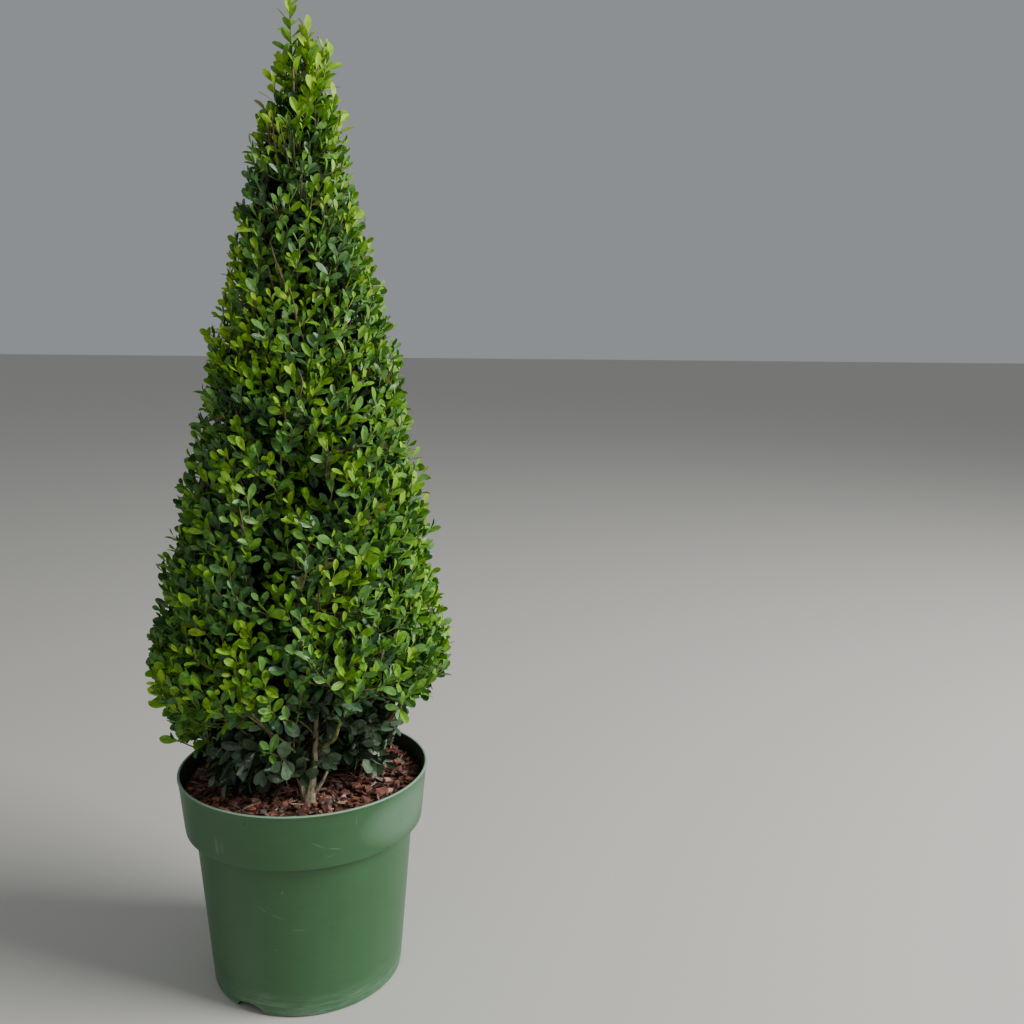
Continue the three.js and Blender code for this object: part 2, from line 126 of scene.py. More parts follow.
def placeParts(tree):  # X, Y and Z in the part's own space
    place = addNode(tree, "ShaderNodeTexCoord")
    parts = addNode(tree, "ShaderNodeSeparateXYZ")
    tree.links.new(place.outputs["Object"], parts.inputs["Vector"])
    return parts.outputs


def darker(colour, share):
    return "%02x%02x%02x" % tuple(int(int(colour[k:k + 2], 16) * share) for k in (0, 2, 4))


def grainedMaterial(name, colour, finish):  # one colour with darker grain and a fine bump
    material, tree, shader = newMaterial(name, colour, finish["roughness"], finish["specular"])
    shade = addRange(tree, addNoise(tree, *finish["grain"]), *finish["grainRange"], 0.0, 1.0)
    grained = addMix(tree, shade, darker(colour, finish["dark"]), colour)
    tree.links.new(grained, shader.inputs["Base Color"])
    addBump(tree, shader, addNoise(tree, *finish["bump"]), finish["bumpDepth"])
    return material


# meshes

def addObject(name, data):
    made = bpy.data.objects.new(name, data)
    bpy.context.scene.collection.objects.link(made)
    return made


def makePiece(name, points, faceSets, materials, smooth=True):  # faceSets are (corner rows, kind or kinds)
    faces = []
    kinds = []
    for corners, kind in faceSets:
        faces += corners.tolist()
        kinds += np.broadcast_to(kind, len(corners)).tolist()
    mesh = bpy.data.meshes.new(name)
    mesh.from_pydata((np.asarray(points) * mm).tolist(), [], faces)
    mesh.polygons.foreach_set("material_index", kinds)
    mesh.polygons.foreach_set("use_smooth", np.full(len(faces), smooth))
    for material in materials:
        mesh.materials.append(material)
    mesh.update()
    return addObject(name, mesh)


def dress(piece, slot, *nodes):  # the piece rides on the body and stands for the nodes; its slot is not used
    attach(piece, "root")
    if nodes:
        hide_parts(*nodes)


def smoothPath(points, shares):  # the source's centripetal curve through its points
    points = np.asarray(points, float)
    last = len(points) - 2
    ends = np.vstack([2 * points[0] - points[1], points, 2 * points[-1] - points[-2]])
    place = np.asarray(shares, float) * (last + 1)
    step = np.clip(place.astype(int), 0, last)
    along = (place - step)[:, None]
    a, b, c, d = (ends[step + k] for k in range(4))
    ab, bc, cd = (np.sqrt(np.linalg.norm(q - p, axis=1))[:, None] for p, q in ((a, b), (b, c), (c, d)))
    leave = bc * ((b - a) / ab - (c - a) / (ab + bc) + (c - b) / bc)
    arrive = bc * ((c - b) / bc - (d - b) / (bc + cd) + (d - c) / cd)
    cubic = 2 * b - 2 * c + leave + arrive
    square = 3 * c - 3 * b - 2 * leave - arrive
    return b + along * (leave + along * (square + along * cubic))


def unit(vectors):
    length = np.linalg.norm(vectors, axis=-1, keepdims=True)
    return vectors / np.maximum(length, 1e-9)


def ringFrames(centres):  # two directions across each path, for paths of one ring count
    along = unit(np.gradient(centres, axis=1))
    run = centres[:, -1] - centres[:, 0]
    helper = np.where(np.abs(unit(run)[:, 2:3]) > 0.8, [[1.0, 0.3, 0.0]], [[0.1, 0.0, 1.0]])
    side = unit(np.cross(along, helper[:, None, :]))
    return side, np.cross(side, along)


def ringQuads(firsts, rings, sides):  # quads between the rings of forms whose points start at these rows
    around = np.arange(sides)
    onward = (around + 1) % sides
    low = (np.reshape(firsts, (-1, 1)) + sides * np.arange(rings - 1))[..., None]
    quads = np.stack([low + around, low + onward, low + sides + onward, low + sides + around], axis=-1)
    return quads.reshape(-1, 4)


def tubes(centres, radii, sides):  # many tapering tubes at once: points, side quads and end faces
    count, rings = radii.shape
    side, across = ringFrames(centres)
    turn = 2 * np.pi * np.arange(sides) / sides
    spread = np.cos(turn)[:, None] * side[:, :, None, :] + np.sin(turn)[:, None] * across[:, :, None, :]
    points = centres[:, :, None, :] + radii[:, :, None, None] * spread
    firsts = rings * sides * np.arange(count)
    tips = firsts[:, None] + (rings - 1) * sides + np.arange(sides)
    return points.reshape(-1, 3), ringQuads(firsts, rings, sides), tips


# pot

pot = {
    "height": 186, "rimRadius": 105, "lipDepth": 2.2, "lipOverhang": 0.5, "wall": 1.9, "floor": 2.5,
    "collarBottom": 139, "collarRadius": 99.9, "bodyTopRadius": 91.9, "baseRadius": 80.9, "footRound": 3.8,
    "recess": 1.2, "standRing": 14, "sides": 192, "sharpAngle": 35,
    "collarEdge": 0.6, "lipEdge": 0.5, "topRound": 1.1, "insideRound": 0.8,
    "notchCount": 3, "notchAzimuth": -116, "notchReach": 15,
    "notchWidth": 28, "notchTop": 20, "notchHeight": 8,
}
potFinish = {  # noise as scale, detail, stretch and roughness; ranges from low and high to low and high
    # the pale scuff colour also paints a reflection on the collar
    "colour": "38673c", "colourDark": "2f5c32", "scuffAndSheen": "8fb39a", "dirt": "1f2b1c",
    # worn is no wear but a painted highlight along the lip and the rim's top
    "worn": "88a88f", "rimHighlightDull": 0.5, "inside": "35523d", "insideDull": 0.6,
    "specular": 0.55, "dull": (0.34, 0.42), "scuffDull": 0.2, "cloud": (9, 4), "cloudRange": (0.3, 0.7),
    "brushed": (60, 5, (0.6, 0.6, 6), 0.7), "brushedRange": (0.4, 0.66, 0.12, 1.0),
    "footBand": (0.018, 0.036, 1.0, 0.0), "wander": (30, 4), "footWander": 0.024,  # heights in metres
    "footScuff": 0.4, "wallScuff": 0.02, "dust": (210, 1), "dustRange": (0.77, 0.8, 0.0, 0.6),
    "bumps": (70, 3), "brushedBump": 0.4, "bumpDepth": 0.12, "markEdge": (0.2, 1.0),
}
potRubsAndSheen = [  # faint rubs on the wall, and a painted reflection on the collar: azimuth, height, half length, half width, slope, strength
    (-121.6, 152, 2.2, 9.0, 0.0, 0.16), (-73.5, 159.6, 6.5, 0.45, -0.55, 0.26),
    (-66, 154.6, 7.0, 0.45, -0.28, 0.26), (-102, 98.9, 6.0, 0.4, -0.52, 0.26),
    (-94.5, 93.6, 7.0, 0.4, -0.4, 0.26), (-83.3, 81.6, 7.5, 0.5, 0.0, 0.22),
    (-96.4, 63.3, 3.0, 0.5, 0.08, 0.16), (-56.6, 174, 0.45, 5.5, 0.0, 0.2),
    (-91.2, 115.5, 1.2, 1.2, 0.0, 0.2), (-118.5, 153, 3.0, 7.0, 0.0, 0.07),
    (-68, 149, 5.0, 0.45, 0.1, 0.14), (140, 90, 14, 0.5, 0.3, 0.22), (40, 152, 11, 0.5, -0.2, 0.22),
    # the last mark, at azimuth -28 on the collar, is no rub but a painted reflection: a paler patch where
    # the collar catches the light
    (75, 60, 9, 0.45, 0.4, 0.22), (-28, 163, 52, 24, 0.0, 0.26),
]
potSpecks = [(-104.9, 178.3, 1.1, 0.8, 0.4, 0.8)]  # dark, told in the same order


def arc(centre, radius, fromAngle, toAngle, steps):  # points of an arc as (radius, height)
    angles = np.radians(np.linspace(fromAngle, toAngle, steps))
    return [(centre[0] + radius * math.cos(a), centre[1] + radius * math.sin(a)) for a in angles]


def bodyRadius(height, inset=0.0):
    share = (height - pot["footRound"]) / (pot["collarBottom"] - pot["footRound"])
    return pot["baseRadius"] + share * (pot["bodyTopRadius"] - pot["baseRadius"]) - inset


def collarRadiusAt(height, inset=0.0):
    share = (height - pot["collarBottom"]) / (pot["height"] - pot["collarBottom"])
    widening = pot["rimRadius"] - pot["lipOverhang"] - pot["collarRadius"]
    return pot["collarRadius"] + share * widening - inset


def potProfile():  # (radius, height) up the outside and down the inside
    foot = pot["footRound"]
    step = pot["collarBottom"]
    top = pot["height"]
    rim = pot["rimRadius"]
    wall = pot["wall"]
    underLip = top - pot["lipDepth"]
    ring = pot["baseRadius"] - pot["standRing"]
    edge, lip, over, inside = (pot[key] for key in ("collarEdge", "lipEdge", "topRound", "insideRound"))
    outer = [(0, pot["recess"]), (ring - 2, pot["recess"]), (ring, 0)]
    outer += arc((pot["baseRadius"] - foot, foot), foot, -90, 0, 9)
    outer += [(bodyRadius(h), h) for h in np.linspace(foot + 8, step - 3, 24)]
    outer += arc((bodyRadius(step) + 1.4, step - 1.6), 1.5, 180, 90, 5)  # the hollow under the step
    outer += arc((pot["collarRadius"] - edge, step + edge), edge, -90, 0, 4)  # the collar's lower edge
    outer += [(collarRadiusAt(h), h) for h in np.linspace(step + 3, underLip - 1, 10)]
    outer += arc((rim - lip, underLip + lip), lip, -90, 0, 4)  # the lip stands out a little
    outer += arc((rim - over, top - over), over, 0, 90, 6)
    inner = arc((collarRadiusAt(top, wall) + inside, top - inside), inside, 90, 180, 4)
    inner += [(collarRadiusAt(h, wall), h) for h in np.linspace(top - 3, step + wall + 1, 8)]
    inner += [(bodyRadius(step, wall), step + wall), (bodyRadius(step, wall), step - 1)]
    inner += [(bodyRadius(h, wall), h) for h in (90, 40, foot)]
    inner += [(pot["baseRadius"] - foot - wall, pot["floor"]), (0, pot["floor"])]
    return outer, inner


def turned(profile, sides):  # a solid turned about +Z; the profile starts and ends on the axis
    rows = np.array(profile[1:-1])
    turn = 2 * np.pi * np.arange(sides) / sides
    rings = np.stack([
        rows[:, None, 0] * np.cos(turn),
        rows[:, None, 0] * np.sin(turn),
        np.broadcast_to(rows[:, None, 1], (len(rows), sides)),
    ], axis=-1).reshape(-1, 3)
    points = np.vstack([rings, [[0, 0, profile[0][1]], [0, 0, profile[-1][1]]]])
    around = np.arange(sides)
    onward = (around + 1) % sides
    lastRing = (len(rows) - 1) * sides
    start = np.stack([np.full(sides, len(rings)), onward, around], axis=-1)
    finish = np.stack([np.full(sides, len(rings) + 1), lastRing + around, lastRing + onward], axis=-1)
    return points, ringQuads(0, len(rows), sides), np.vstack([start, finish])


def notchCutter(azimuth):  # an arched block through the rounded foot
    half = pot["notchWidth"] / 2
    top = pot["notchTop"] / 2
    high = pot["notchHeight"]
    right = [(half, -2), (half - 0.6, 0.35 * high), (top, 0.78 * high), (0.5 * top, 0.95 * high)]
    outline = [(-half, -2), *right, (0, high)] + [(-x, z) for x, z in right[:0:-1]]
    near = pot["baseRadius"] - pot["notchReach"]
    far = pot["baseRadius"] + pot["notchReach"]
    count = len(outline)
    points = [(r, x, z) for r in (near, far) for x, z in outline]
    sides = [[k, (k + 1) % count, count + (k + 1) % count, count + k] for k in range(count)]
    faces = sides + [list(range(count))[::-1], list(range(count, 2 * count))]
    mesh = bpy.data.meshes.new("notchCutter")
    mesh.from_pydata([[v * mm for v in p] for p in points], [], faces)
    mesh.transform(Matrix.Rotation(math.radians(azimuth), 4, "Z"))
    return addObject("notchCutter", mesh)


def addMark(tree, turn, level, mark):  # a soft ellipse on the wall, leaning by its slope
    azimuth, height, long, wide, slope, strength = mark
    aside = addMath(tree, "SUBTRACT", turn, math.radians(azimuth))
    along = addMath(tree, "MULTIPLY", aside, pot["rimRadius"] * mm)
    rise = addMath(tree, "SUBTRACT", level, height * mm)
    across = addMath(tree, "SUBTRACT", rise, addMath(tree, "MULTIPLY", along, slope))
    shares = [addMath(tree, "DIVIDE", gap, size * mm) for gap, size in ((along, long), (across, wide))]
    squares = [addMath(tree, "POWER", share, 2) for share in shares]
    return addRange(tree, addMath(tree, "ADD", *squares), *potFinish["markEdge"], strength, 0.0)


def potMaterial():
    look = potFinish
    material, tree, shader = newMaterial("potPlastic", look["colour"], look["dull"][0], look["specular"])
    cloud = addNoise(tree, *look["cloud"])
    low, high = look["cloudRange"]
    base = addRamp(tree, cloud, [(low, look["colourDark"]), (high, look["colour"])])
    parts = placeParts(tree)
    turn = addMath(tree, "ARCTAN2", parts["Y"], parts["X"])
    wander = addMath(tree, "MULTIPLY", addNoise(tree, *look["wander"]), look["footWander"])
    nearFoot = addRange(tree, addMath(tree, "ADD", parts["Z"], wander), *look["footBand"])
    brushed = addNoise(tree, *look["brushed"])  # level scuffs, strongest at the foot
    scuffs = addRange(tree, brushed, *look["brushedRange"])
    footStrength = addMath(tree, "MULTIPLY", nearFoot, look["footScuff"])
    strength = addMath(tree, "ADD", footStrength, look["wallScuff"])
    footScuffs = addMath(tree, "MULTIPLY", scuffs, strength)
    worn = addMix(tree, footScuffs, base, look["scuffAndSheen"])
    rubsAndSheen = 0.0
    for mark in potRubsAndSheen:
        rubsAndSheen = addMath(tree, "MAXIMUM", addMark(tree, turn, parts["Z"], mark), rubsAndSheen)
    # the pale rubs, and the painted reflection on the collar
    rubbedAndSheened = addMix(tree, rubsAndSheen, worn, look["scuffAndSheen"])
    dirt = addRange(tree, addNoise(tree, *look["dust"]), *look["dustRange"])
    for mark in potSpecks:
        dirt = addMath(tree, "MAXIMUM", addMark(tree, turn, parts["Z"], mark), dirt)
    tree.links.new(addMix(tree, dirt, rubbedAndSheened, look["dirt"]), shader.inputs["Base Color"])
    scuffed = addMath(tree, "MULTIPLY", footScuffs, look["scuffDull"])
    dull = addMath(tree, "ADD", addRange(tree, cloud, low, high, *look["dull"]), scuffed)
    tree.links.new(dull, shader.inputs["Roughness"])
    lines = addMath(tree, "MULTIPLY", brushed, look["brushedBump"])
    addBump(tree, shader, addMath(tree, "ADD", addNoise(tree, *look["bumps"]), lines), look["bumpDepth"])
    return material


def makePot():
    outer, inner = potProfile()
    points, quads, fans = turned(outer + inner, pot["sides"])
    rowKinds = np.zeros(len(outer) + len(inner) - 3, int)
    rowKinds[len(outer) - 6:len(outer) + 1] = 1  # the lip and the rim's top, with a painted highlight
    rowKinds[len(outer) + 1:] = 2  # the inside, painted darker as shade
    worn = newMaterial("potRimPaintedHighlight", potFinish["worn"], potFinish["rimHighlightDull"])[0]
    # painted shade: the pot's inside is a darker green
    inside = newMaterial("potInsidePaintedShade", potFinish["inside"], potFinish["insideDull"])[0]
    faceSets = [(quads, np.repeat(rowKinds, pot["sides"])), (fans, 0)]
    piece = makePiece("pot_shell", points, faceSets, [potMaterial(), worn, inside])
    for k in range(pot["notchCount"]):
        cutter = notchCutter(pot["notchAzimuth"] + 360 * k / pot["notchCount"])
        cut = piece.modifiers.new("notch", "BOOLEAN")
        cut.object = cutter
        cut.operation = "DIFFERENCE"
        cut.solver = "EXACT"
        bpy.context.view_layer.objects.active = piece
        bpy.ops.object.modifier_apply(modifier=cut.name)
        bpy.data.objects.remove(cutter)
    piece.data.set_sharp_from_angle(angle=math.radians(pot["sharpAngle"]))
    dress(piece, "pot_plastic", "pot")


makePot()
print("pot: turned and notched")


# bark on the root ball

bed = {
    "height": 173, "rootInset": 2.4, "foot": 3, "footRound": 3, "footInset": 6.5, "edgeRound": 2,
    "bodyLevel": 70, "stepGap": 0.5, "sides": 96, "rows": 26, "rowPower": 1.1, "dish": 0.75,
    "lump": 2.2, "lumps": [(1.0, 22, 3.1), (0.5, 9, 7.7)],  # share, width and place in the noise
    "seed": 11, "lift": (-0.6, 2.6), "largeShare": 0.12, "largeSize": 1.5,
    "singleLift": 3.4, "singleTilt": 14,
    "tints": {
        "chipDark": "5a3a2f", "chipBrown": "825547", "chipRed": "996355", "chipRust": "c07c5c",
        "chipTan": "cfb090", "chipGrey": "8f837b",
    },
}
soilFinish = {
    "colour": "553a2d", "dark": "33221a", "pale": "6b4b3a", "roughness": 0.95, "specular": 0.2,
    "grain": (260, 5), "grainRange": (0.35, 0.65), "bumpDepth": 1.2,
}
chipForm = {  # a split flake's rings: its foot, its widest, and its uneven top
    "corners": 6, "turnShake": 0.3, "reach": (0.7, 1.12), "foot": 0.82, "top": (0.6, 0.9), "rough": 0.18,
}
flakes = {  # a flake's width is a share of its length
    "count": 1500, "long": (4, 13), "wide": (0.36, 0.76), "thick": (0.9, 2.7), "tilt": 23, "raised": 0,
    "tintShares": [0.24, 0.31, 0.26, 0.08, 0.04, 0.07],
}
slivers = {
    "count": 150, "long": (9, 22), "wide": (0.9, 1.8), "thick": (0.5, 1.0), "tilt": 10, "raised": 1.6,
    "tintShares": [0.05, 0.1, 0.1, 0.15, 0.45, 0.15],
}
chipFinish = {
    "roughness": 0.8, "specular": 0.35, "grain": (160, 4, (1, 1, 1), 0.7), "grainRange": (0.38, 0.62),
    "dark": 0.62, "bump": (520, 4, (1, 0.35, 1)), "bumpDepth": 0.5,
}
singleChips = [  # larger chips that lie on top: x, y, length, width, thickness, row of tint
    (12, -59.5, 9, 6, 2.6, 1), (19, -58.5, 8, 5, 2.2, 2), (5, -57.5, 8, 6, 2.4, 0),
    (24, -54, 7, 5, 2.2, 1), (70, -35, 15, 11, 2.8, 2), (72, -11, 9.5, 6.5, 2.2, 4),
    (58, -30, 12, 8, 2.4, 2), (47, -24, 11, 8, 2.4, 2), (40, -36, 12, 9, 2.6, 2),
    (-62, -30, 13, 9, 2.6, 2), (-46, -60, 12, 7, 2.4, 1), (60, -52, 11, 8, 2.4, 1),
    (82, -20, 10, 6, 2.2, 1), (30, -66, 12, 8, 2.4, 2), (-10, -78, 11, 7, 2.2, 1), (52, 8, 11, 8, 2.4, 2),
]


def bedHeight(x, y):  # the lumpy top of the bark, a little dished
    far = math.hypot(x, y) / 100
    lumps = 0.0
    for share, width, place in bed["lumps"]:
        lumps += share * noise.noise(Vector((x / width, y / width, place)))
    level = bed["height"] + bed["lump"] * lumps * min(1.0, 6 * abs(1.02 - far))  # no lumps at the wall
    return level - bed["dish"] * (1 - far * far)


def soilMaterial():
    look = soilFinish
    material, tree, shader = newMaterial("barkFines", look["colour"], look["roughness"], look["specular"])
    grain = addNoise(tree, *look["grain"])
    stops = zip(look["grainRange"], (look["dark"], look["pale"]))
    tree.links.new(addRamp(tree, grain, list(stops)), shader.inputs["Base Color"])
    addBump(tree, shader, grain, look["bumpDepth"])
    return material


def makeRootBall():
    inset = bed["rootInset"]
    step = pot["collarBottom"] + pot["wall"] + bed["stepGap"]
    foot = bed["foot"]
    side = bed["height"] - bed["edgeRound"]
    edge = collarRadiusAt(side, inset)
    profile = [(0, foot), (pot["baseRadius"] - bed["footInset"], foot)]
    profile += [(bodyRadius(h, inset), h) for h in (foot + bed["footRound"], bed["bodyLevel"])]
    profile += [(bodyRadius(pot["collarBottom"], inset), step), (collarRadiusAt(step, inset), step)]
    profile += [(edge, side)]
    shares = [1 - (k / bed["rows"]) ** bed["rowPower"] for k in range(1, bed["rows"])]
    profile += [(edge * share, bed["height"]) for share in shares] + [(0, bed["height"])]
    points, quads, fans = turned(profile, bed["sides"])
    for point in points:
        if point[2] >= bed["height"]:
            point[2] = bedHeight(point[0], point[1])
    piece = makePiece("root_ball_fill", points, [(quads, 0), (fans, 0)], [soilMaterial()])
    dress(piece, "bark_mulch", "root_ball")


def chipShape(rng, long, wide, thick):  # a split, uneven flake: three rings of corners
    corners, shake, rough = (chipForm[key] for key in ("corners", "turnShake", "rough"))
    turn = 2 * np.pi * (np.arange(corners) + rng.uniform(-shake, shake, corners)) / corners
    reach = rng.uniform(*chipForm["reach"], corners)
    rim = np.stack([np.cos(turn) * long / 2 * reach, np.sin(turn) * wide / 2 * reach], axis=-1)
    rings = []
    for share, height in ((chipForm["foot"], -0.5), (1.0, 0.0), (rng.uniform(*chipForm["top"]), 0.5)):
        lift = height * thick + rng.uniform(-rough, rough, corners) * thick
        rings.append(np.column_stack([rim * share, lift]))
    return np.vstack(rings)


def tilted(rng, tilt):  # a turn about +Z after a tilt about a level axis
    yaw = Matrix.Rotation(rng.uniform(0, 2 * math.pi), 3, "Z")
    lean = Matrix.Rotation(math.radians(tilt * rng.normal()), 3, "X")
    roll = Matrix.Rotation(math.radians(tilt * rng.normal()), 3, "Y")
    return np.array(yaw @ lean @ roll)


def makeChips():
    rng = np.random.default_rng(bed["seed"])
    shapes = []
    tints = []

    def layChip(x, y, lift, size, tilt):
        shape = chipShape(rng, *size) @ tilted(rng, tilt).T
        shapes.append(shape + [x, y, bedHeight(x, y) + lift])

    edge = collarRadiusAt(bed["height"], pot["wall"])
    for kind in (flakes, slivers):
        for _ in range(kind["count"]):
            long = rng.uniform(*kind["long"])
            if kind is flakes and rng.random() < bed["largeShare"]:
                long *= bed["largeSize"]
            wide = rng.uniform(*kind["wide"]) * (long if kind is flakes else 1)
            thick = rng.uniform(*kind["thick"])
            far = (edge - 0.5 * long - 1) * math.sqrt(rng.random())
            turn = rng.uniform(0, 2 * math.pi)
            lift = rng.uniform(*bed["lift"]) + kind["raised"]
            layChip(far * math.cos(turn), far * math.sin(turn), lift, (long, wide, thick), kind["tilt"])
            tints.append(rng.choice(len(bed["tints"]), p=kind["tintShares"]))
    for x, y, long, wide, thick, tint in singleChips:
        layChip(x, y, bed["singleLift"], (long, wide, thick), bed["singleTilt"])
        tints.append(tint)
    corners = chipForm["corners"]
    firsts = 3 * corners * np.arange(len(shapes))
    ends = np.stack([np.arange(corners)[::-1], 2 * corners + np.arange(corners)])
    faceSets = [
        (ringQuads(firsts, 3, corners), np.repeat(tints, 2 * corners)),
        ((firsts[:, None, None] + ends).reshape(-1, corners), np.repeat(tints, 2)),
    ]
    materials = [grainedMaterial(name, colour, chipFinish) for name, colour in bed["tints"].items()]
    piece = makePiece("bark_chips", np.vstack(shapes), faceSets, materials, smooth=False)
    dress(piece, "bark_mulch", "root_ball")
    return len(shapes)


makeRootBall()
print("bark: bed and", makeChips(), "chips")


# crown rule, as in the part's source

crown = {
    "axisX": 5, "top": 800, "widestHeight": 270, "widestRadius": 127,  # the outline of the leaf tips
    "skirtHeight": 180, "skirtRadius": 87, "skirtBow": 0.22, "flankFall": 0.82, "tipPower": 5,
    "tierRise": 0.3, "bore": 0.24, "boreLevel": 60,  # tiers rise outward round an open middle
    "limbGap": 0.3, "boughRadius": 2.1, "boughTaper": 0.7, "boughStep": 9, "boughClimb": 0.8,
    "boughEntry": 5, "boughSag": 1.5,
    "stemSunk": 2, "stemBow": 3, "stemReach": 65, "stemInset": 37, "shootFoot": 700,
    "firstRow": 4, "sprayStep": 56, "sprayRise": 48,  # rows of main twigs
    "sectorShare": 0.92, "turnShake": 0.12, "levelShake": 0.5, "leafDepth": 23, "leafShare": 0.42,
    "twigRadius": 2.4, "twigStart": (0.4, 0.5), "twigInset": 0.45, "kneeInset": 1.05, "kneeDrop": 18,
}
tiers = [  # name, lowest and highest level, sectors, turn of the first one
    ("skirt", 140, 255, ["right", "back", "left", "front"], 0),
    ("lower", 255, 355, ["back_right", "back_left", "front_left", "front_right"], 45),
    ("middle", 355, 455, ["back", "front_left", "front_right"], 90),
    ("upper", 455, 560, ["right", "left", "front"], 30),
    ("shoulder", 560, 660, ["right", "left"], 20),
    ("tip", 660, 800, ["shoots"], 0),
]


def seededRun(seed):  # the source's run of numbers from 0 to 1
    state = seed

    def draw():
        nonlocal state
        state = (state * 1664525 + 1013904223) % 4294967296
        return state / 4294967296
    return draw


def outlineRadius(height):  # how far from the crown's axis the leaf tips reach
    height = np.asarray(height, float)
    fall = (crown["widestHeight"] - height) / (crown["widestHeight"] - crown["skirtHeight"])
    drawIn = crown["widestRadius"] - crown["skirtRadius"]
    bow = crown["skirtBow"]
    low = crown["widestRadius"] - drawIn * ((1 + bow) * fall - bow * fall * fall)
    rise = (height - crown["widestHeight"]) / (crown["top"] - crown["widestHeight"])
    flank = 1 - crown["flankFall"] * rise - (1 - crown["flankFall"]) * np.abs(rise) ** crown["tipPower"]
    return np.where(height < crown["widestHeight"], low, crown["widestRadius"] * np.maximum(0, flank))


def leafDepth(height):
    return np.minimum(crown["leafDepth"], crown["leafShare"] * outlineRadius(height))


def onCrown(azimuth, height, inset):
    radius = max(0.0, float(outlineRadius(height)) - inset)
    return np.array([crown["axisX"] + radius * math.cos(azimuth), radius * math.sin(azimuth), height])


def placeOf(mass, point):  # distance from the axis, tier level, and turn from the mass's middle
    x = point[0] - crown["axisX"]
    radius = math.hypot(x, point[1])
    turn = math.atan2(point[1], x) - mass["middle"]
    return radius, point[2] - crown["tierRise"] * radius, math.atan2(math.sin(turn), math.cos(turn))


def insideSpace(mass, point):
    radius, level, turn = placeOf(mass, point)
    if radius > outlineRadius(point[2]) or point[2] < crown["skirtHeight"] or level < mass["low"]:
        return False
    return mass["whole"] or (level <= mass["high"] and abs(turn) < mass["half"])


def listMasses():
    masses = []
    for row, (tier, low, high, sectors, turn) in enumerate(tiers):
        for place, sector in enumerate(sectors):
            masses.append({
                "name": tier + "_" + sector, "low": low, "high": high, "lowest": row == 0,
                "whole": len(sectors) == 1, "middle": math.radians(turn + 360 * place / len(sectors)),
                "half": math.pi / len(sectors), "place": place, "seed": 100 * row + place + 1,
            })
    return masses


# trunk, stems and boughs

limbs = {
    "foot": 173.3, "sunk": 6,  # where limbs stand on the bark, and how far they run down into it
    "trunk": [
        (12.6, -50, 173.3), (13.6, -50, 179.3), (16.4, -49, 195.3), (19.6, -45, 240), (16.5, -33, 300),
        (11, -18, 385), (7, -8, 480), (6, -3, 580), (6, 0, 668),
    ],
    "trunkRadii": [5.8, 5.0, 2.9, 1.9, 1.8, 1.8, 1.7, 1.6, 1.3],
    "stub": [(15.5, -50, 181), (22, -51, 187.7), (28.6, -51, 200)], "stubRadii": [2.4, 1.6, 1.1],
    "stems": {
        "front_stem": [(11.2, -50, 173.3), (7.7, -49.5, 187), (-0.4, -46, 206), (-25, -47, 228)],
        "right_stem": [(58, 2, 173.3), (60, 3, 185.3), (63, 3, 202), (66, 2, 222)],
        "left_stem": [(-64, -18, 173.3), (-62, -15, 185.3), (-60, -9, 202), (-58, -4, 222)],
        "back_stem": [(-8, 46, 173.3), (-7, 47, 185.3), (-3, 51, 202), (2, 55, 222)],
    },
    "stemRadii": [4.2, 2.9, 2.1, 1.6],
    "ringStep": 1.3, "fewestRings": 8, "trunkSides": 30, "stemSides": 20, "boughSides": 12,
    "relief": [(2.4, 16, 0.13), (6, 3.5, 0.05)],  # long furrows and fine cracks: grain, length, depth
    "flare": 0.42, "flareReach": 7, "footSwell": 1.15, "rootLobes": 3,
    "shifts": {"trunk": 1.7, "stub": 2.9, "stems": 4.1, "boughs": 9.3},  # each limb's place in the relief
}
stemFinish = {
    "roughness": 0.85, "specular": 0.3, "grain": (380, 6, (1, 1, 0.3), 0.65),
    "dark": "443d2e", "colour": "8a8168", "pale": "c6bd9e", "stops": (0.34, 0.48, 0.66),
    "high": "b8a78a", "paintedLightRange": (198, 226), "paintedLightShare": 0.55,  # paler and warmer above the foot: painted light on the trunk where the leaves shade it
    "bump": (620, 5, (1, 1, 0.25), 0.7), "bumpDepth": 0.6,
}


def barkMaterial():
    look = stemFinish
    material, tree, shader = newMaterial("stemBark", look["colour"], look["roughness"], look["specular"])
    stops = zip(look["stops"], (look["dark"], look["colour"], look["pale"]))
    grain = addRamp(tree, addNoise(tree, *look["grain"]), list(stops))
    # paler with height up the trunk: painted light
    low, high = (height * mm for height in look["paintedLightRange"])
    share = addRange(tree, placeParts(tree)["Z"], low, high, 0.0, look["paintedLightShare"])
    tree.links.new(addMix(tree, share, grain, look["high"]), shader.inputs["Base Color"])
    addBump(tree, shader, addNoise(tree, *look["bump"]), look["bumpDepth"])
    return material


def radiusAt(radii, shares):  # a limb's radius at shares of its length
    return np.interp(np.asarray(shares) * (len(radii) - 1), np.arange(len(radii)), radii)


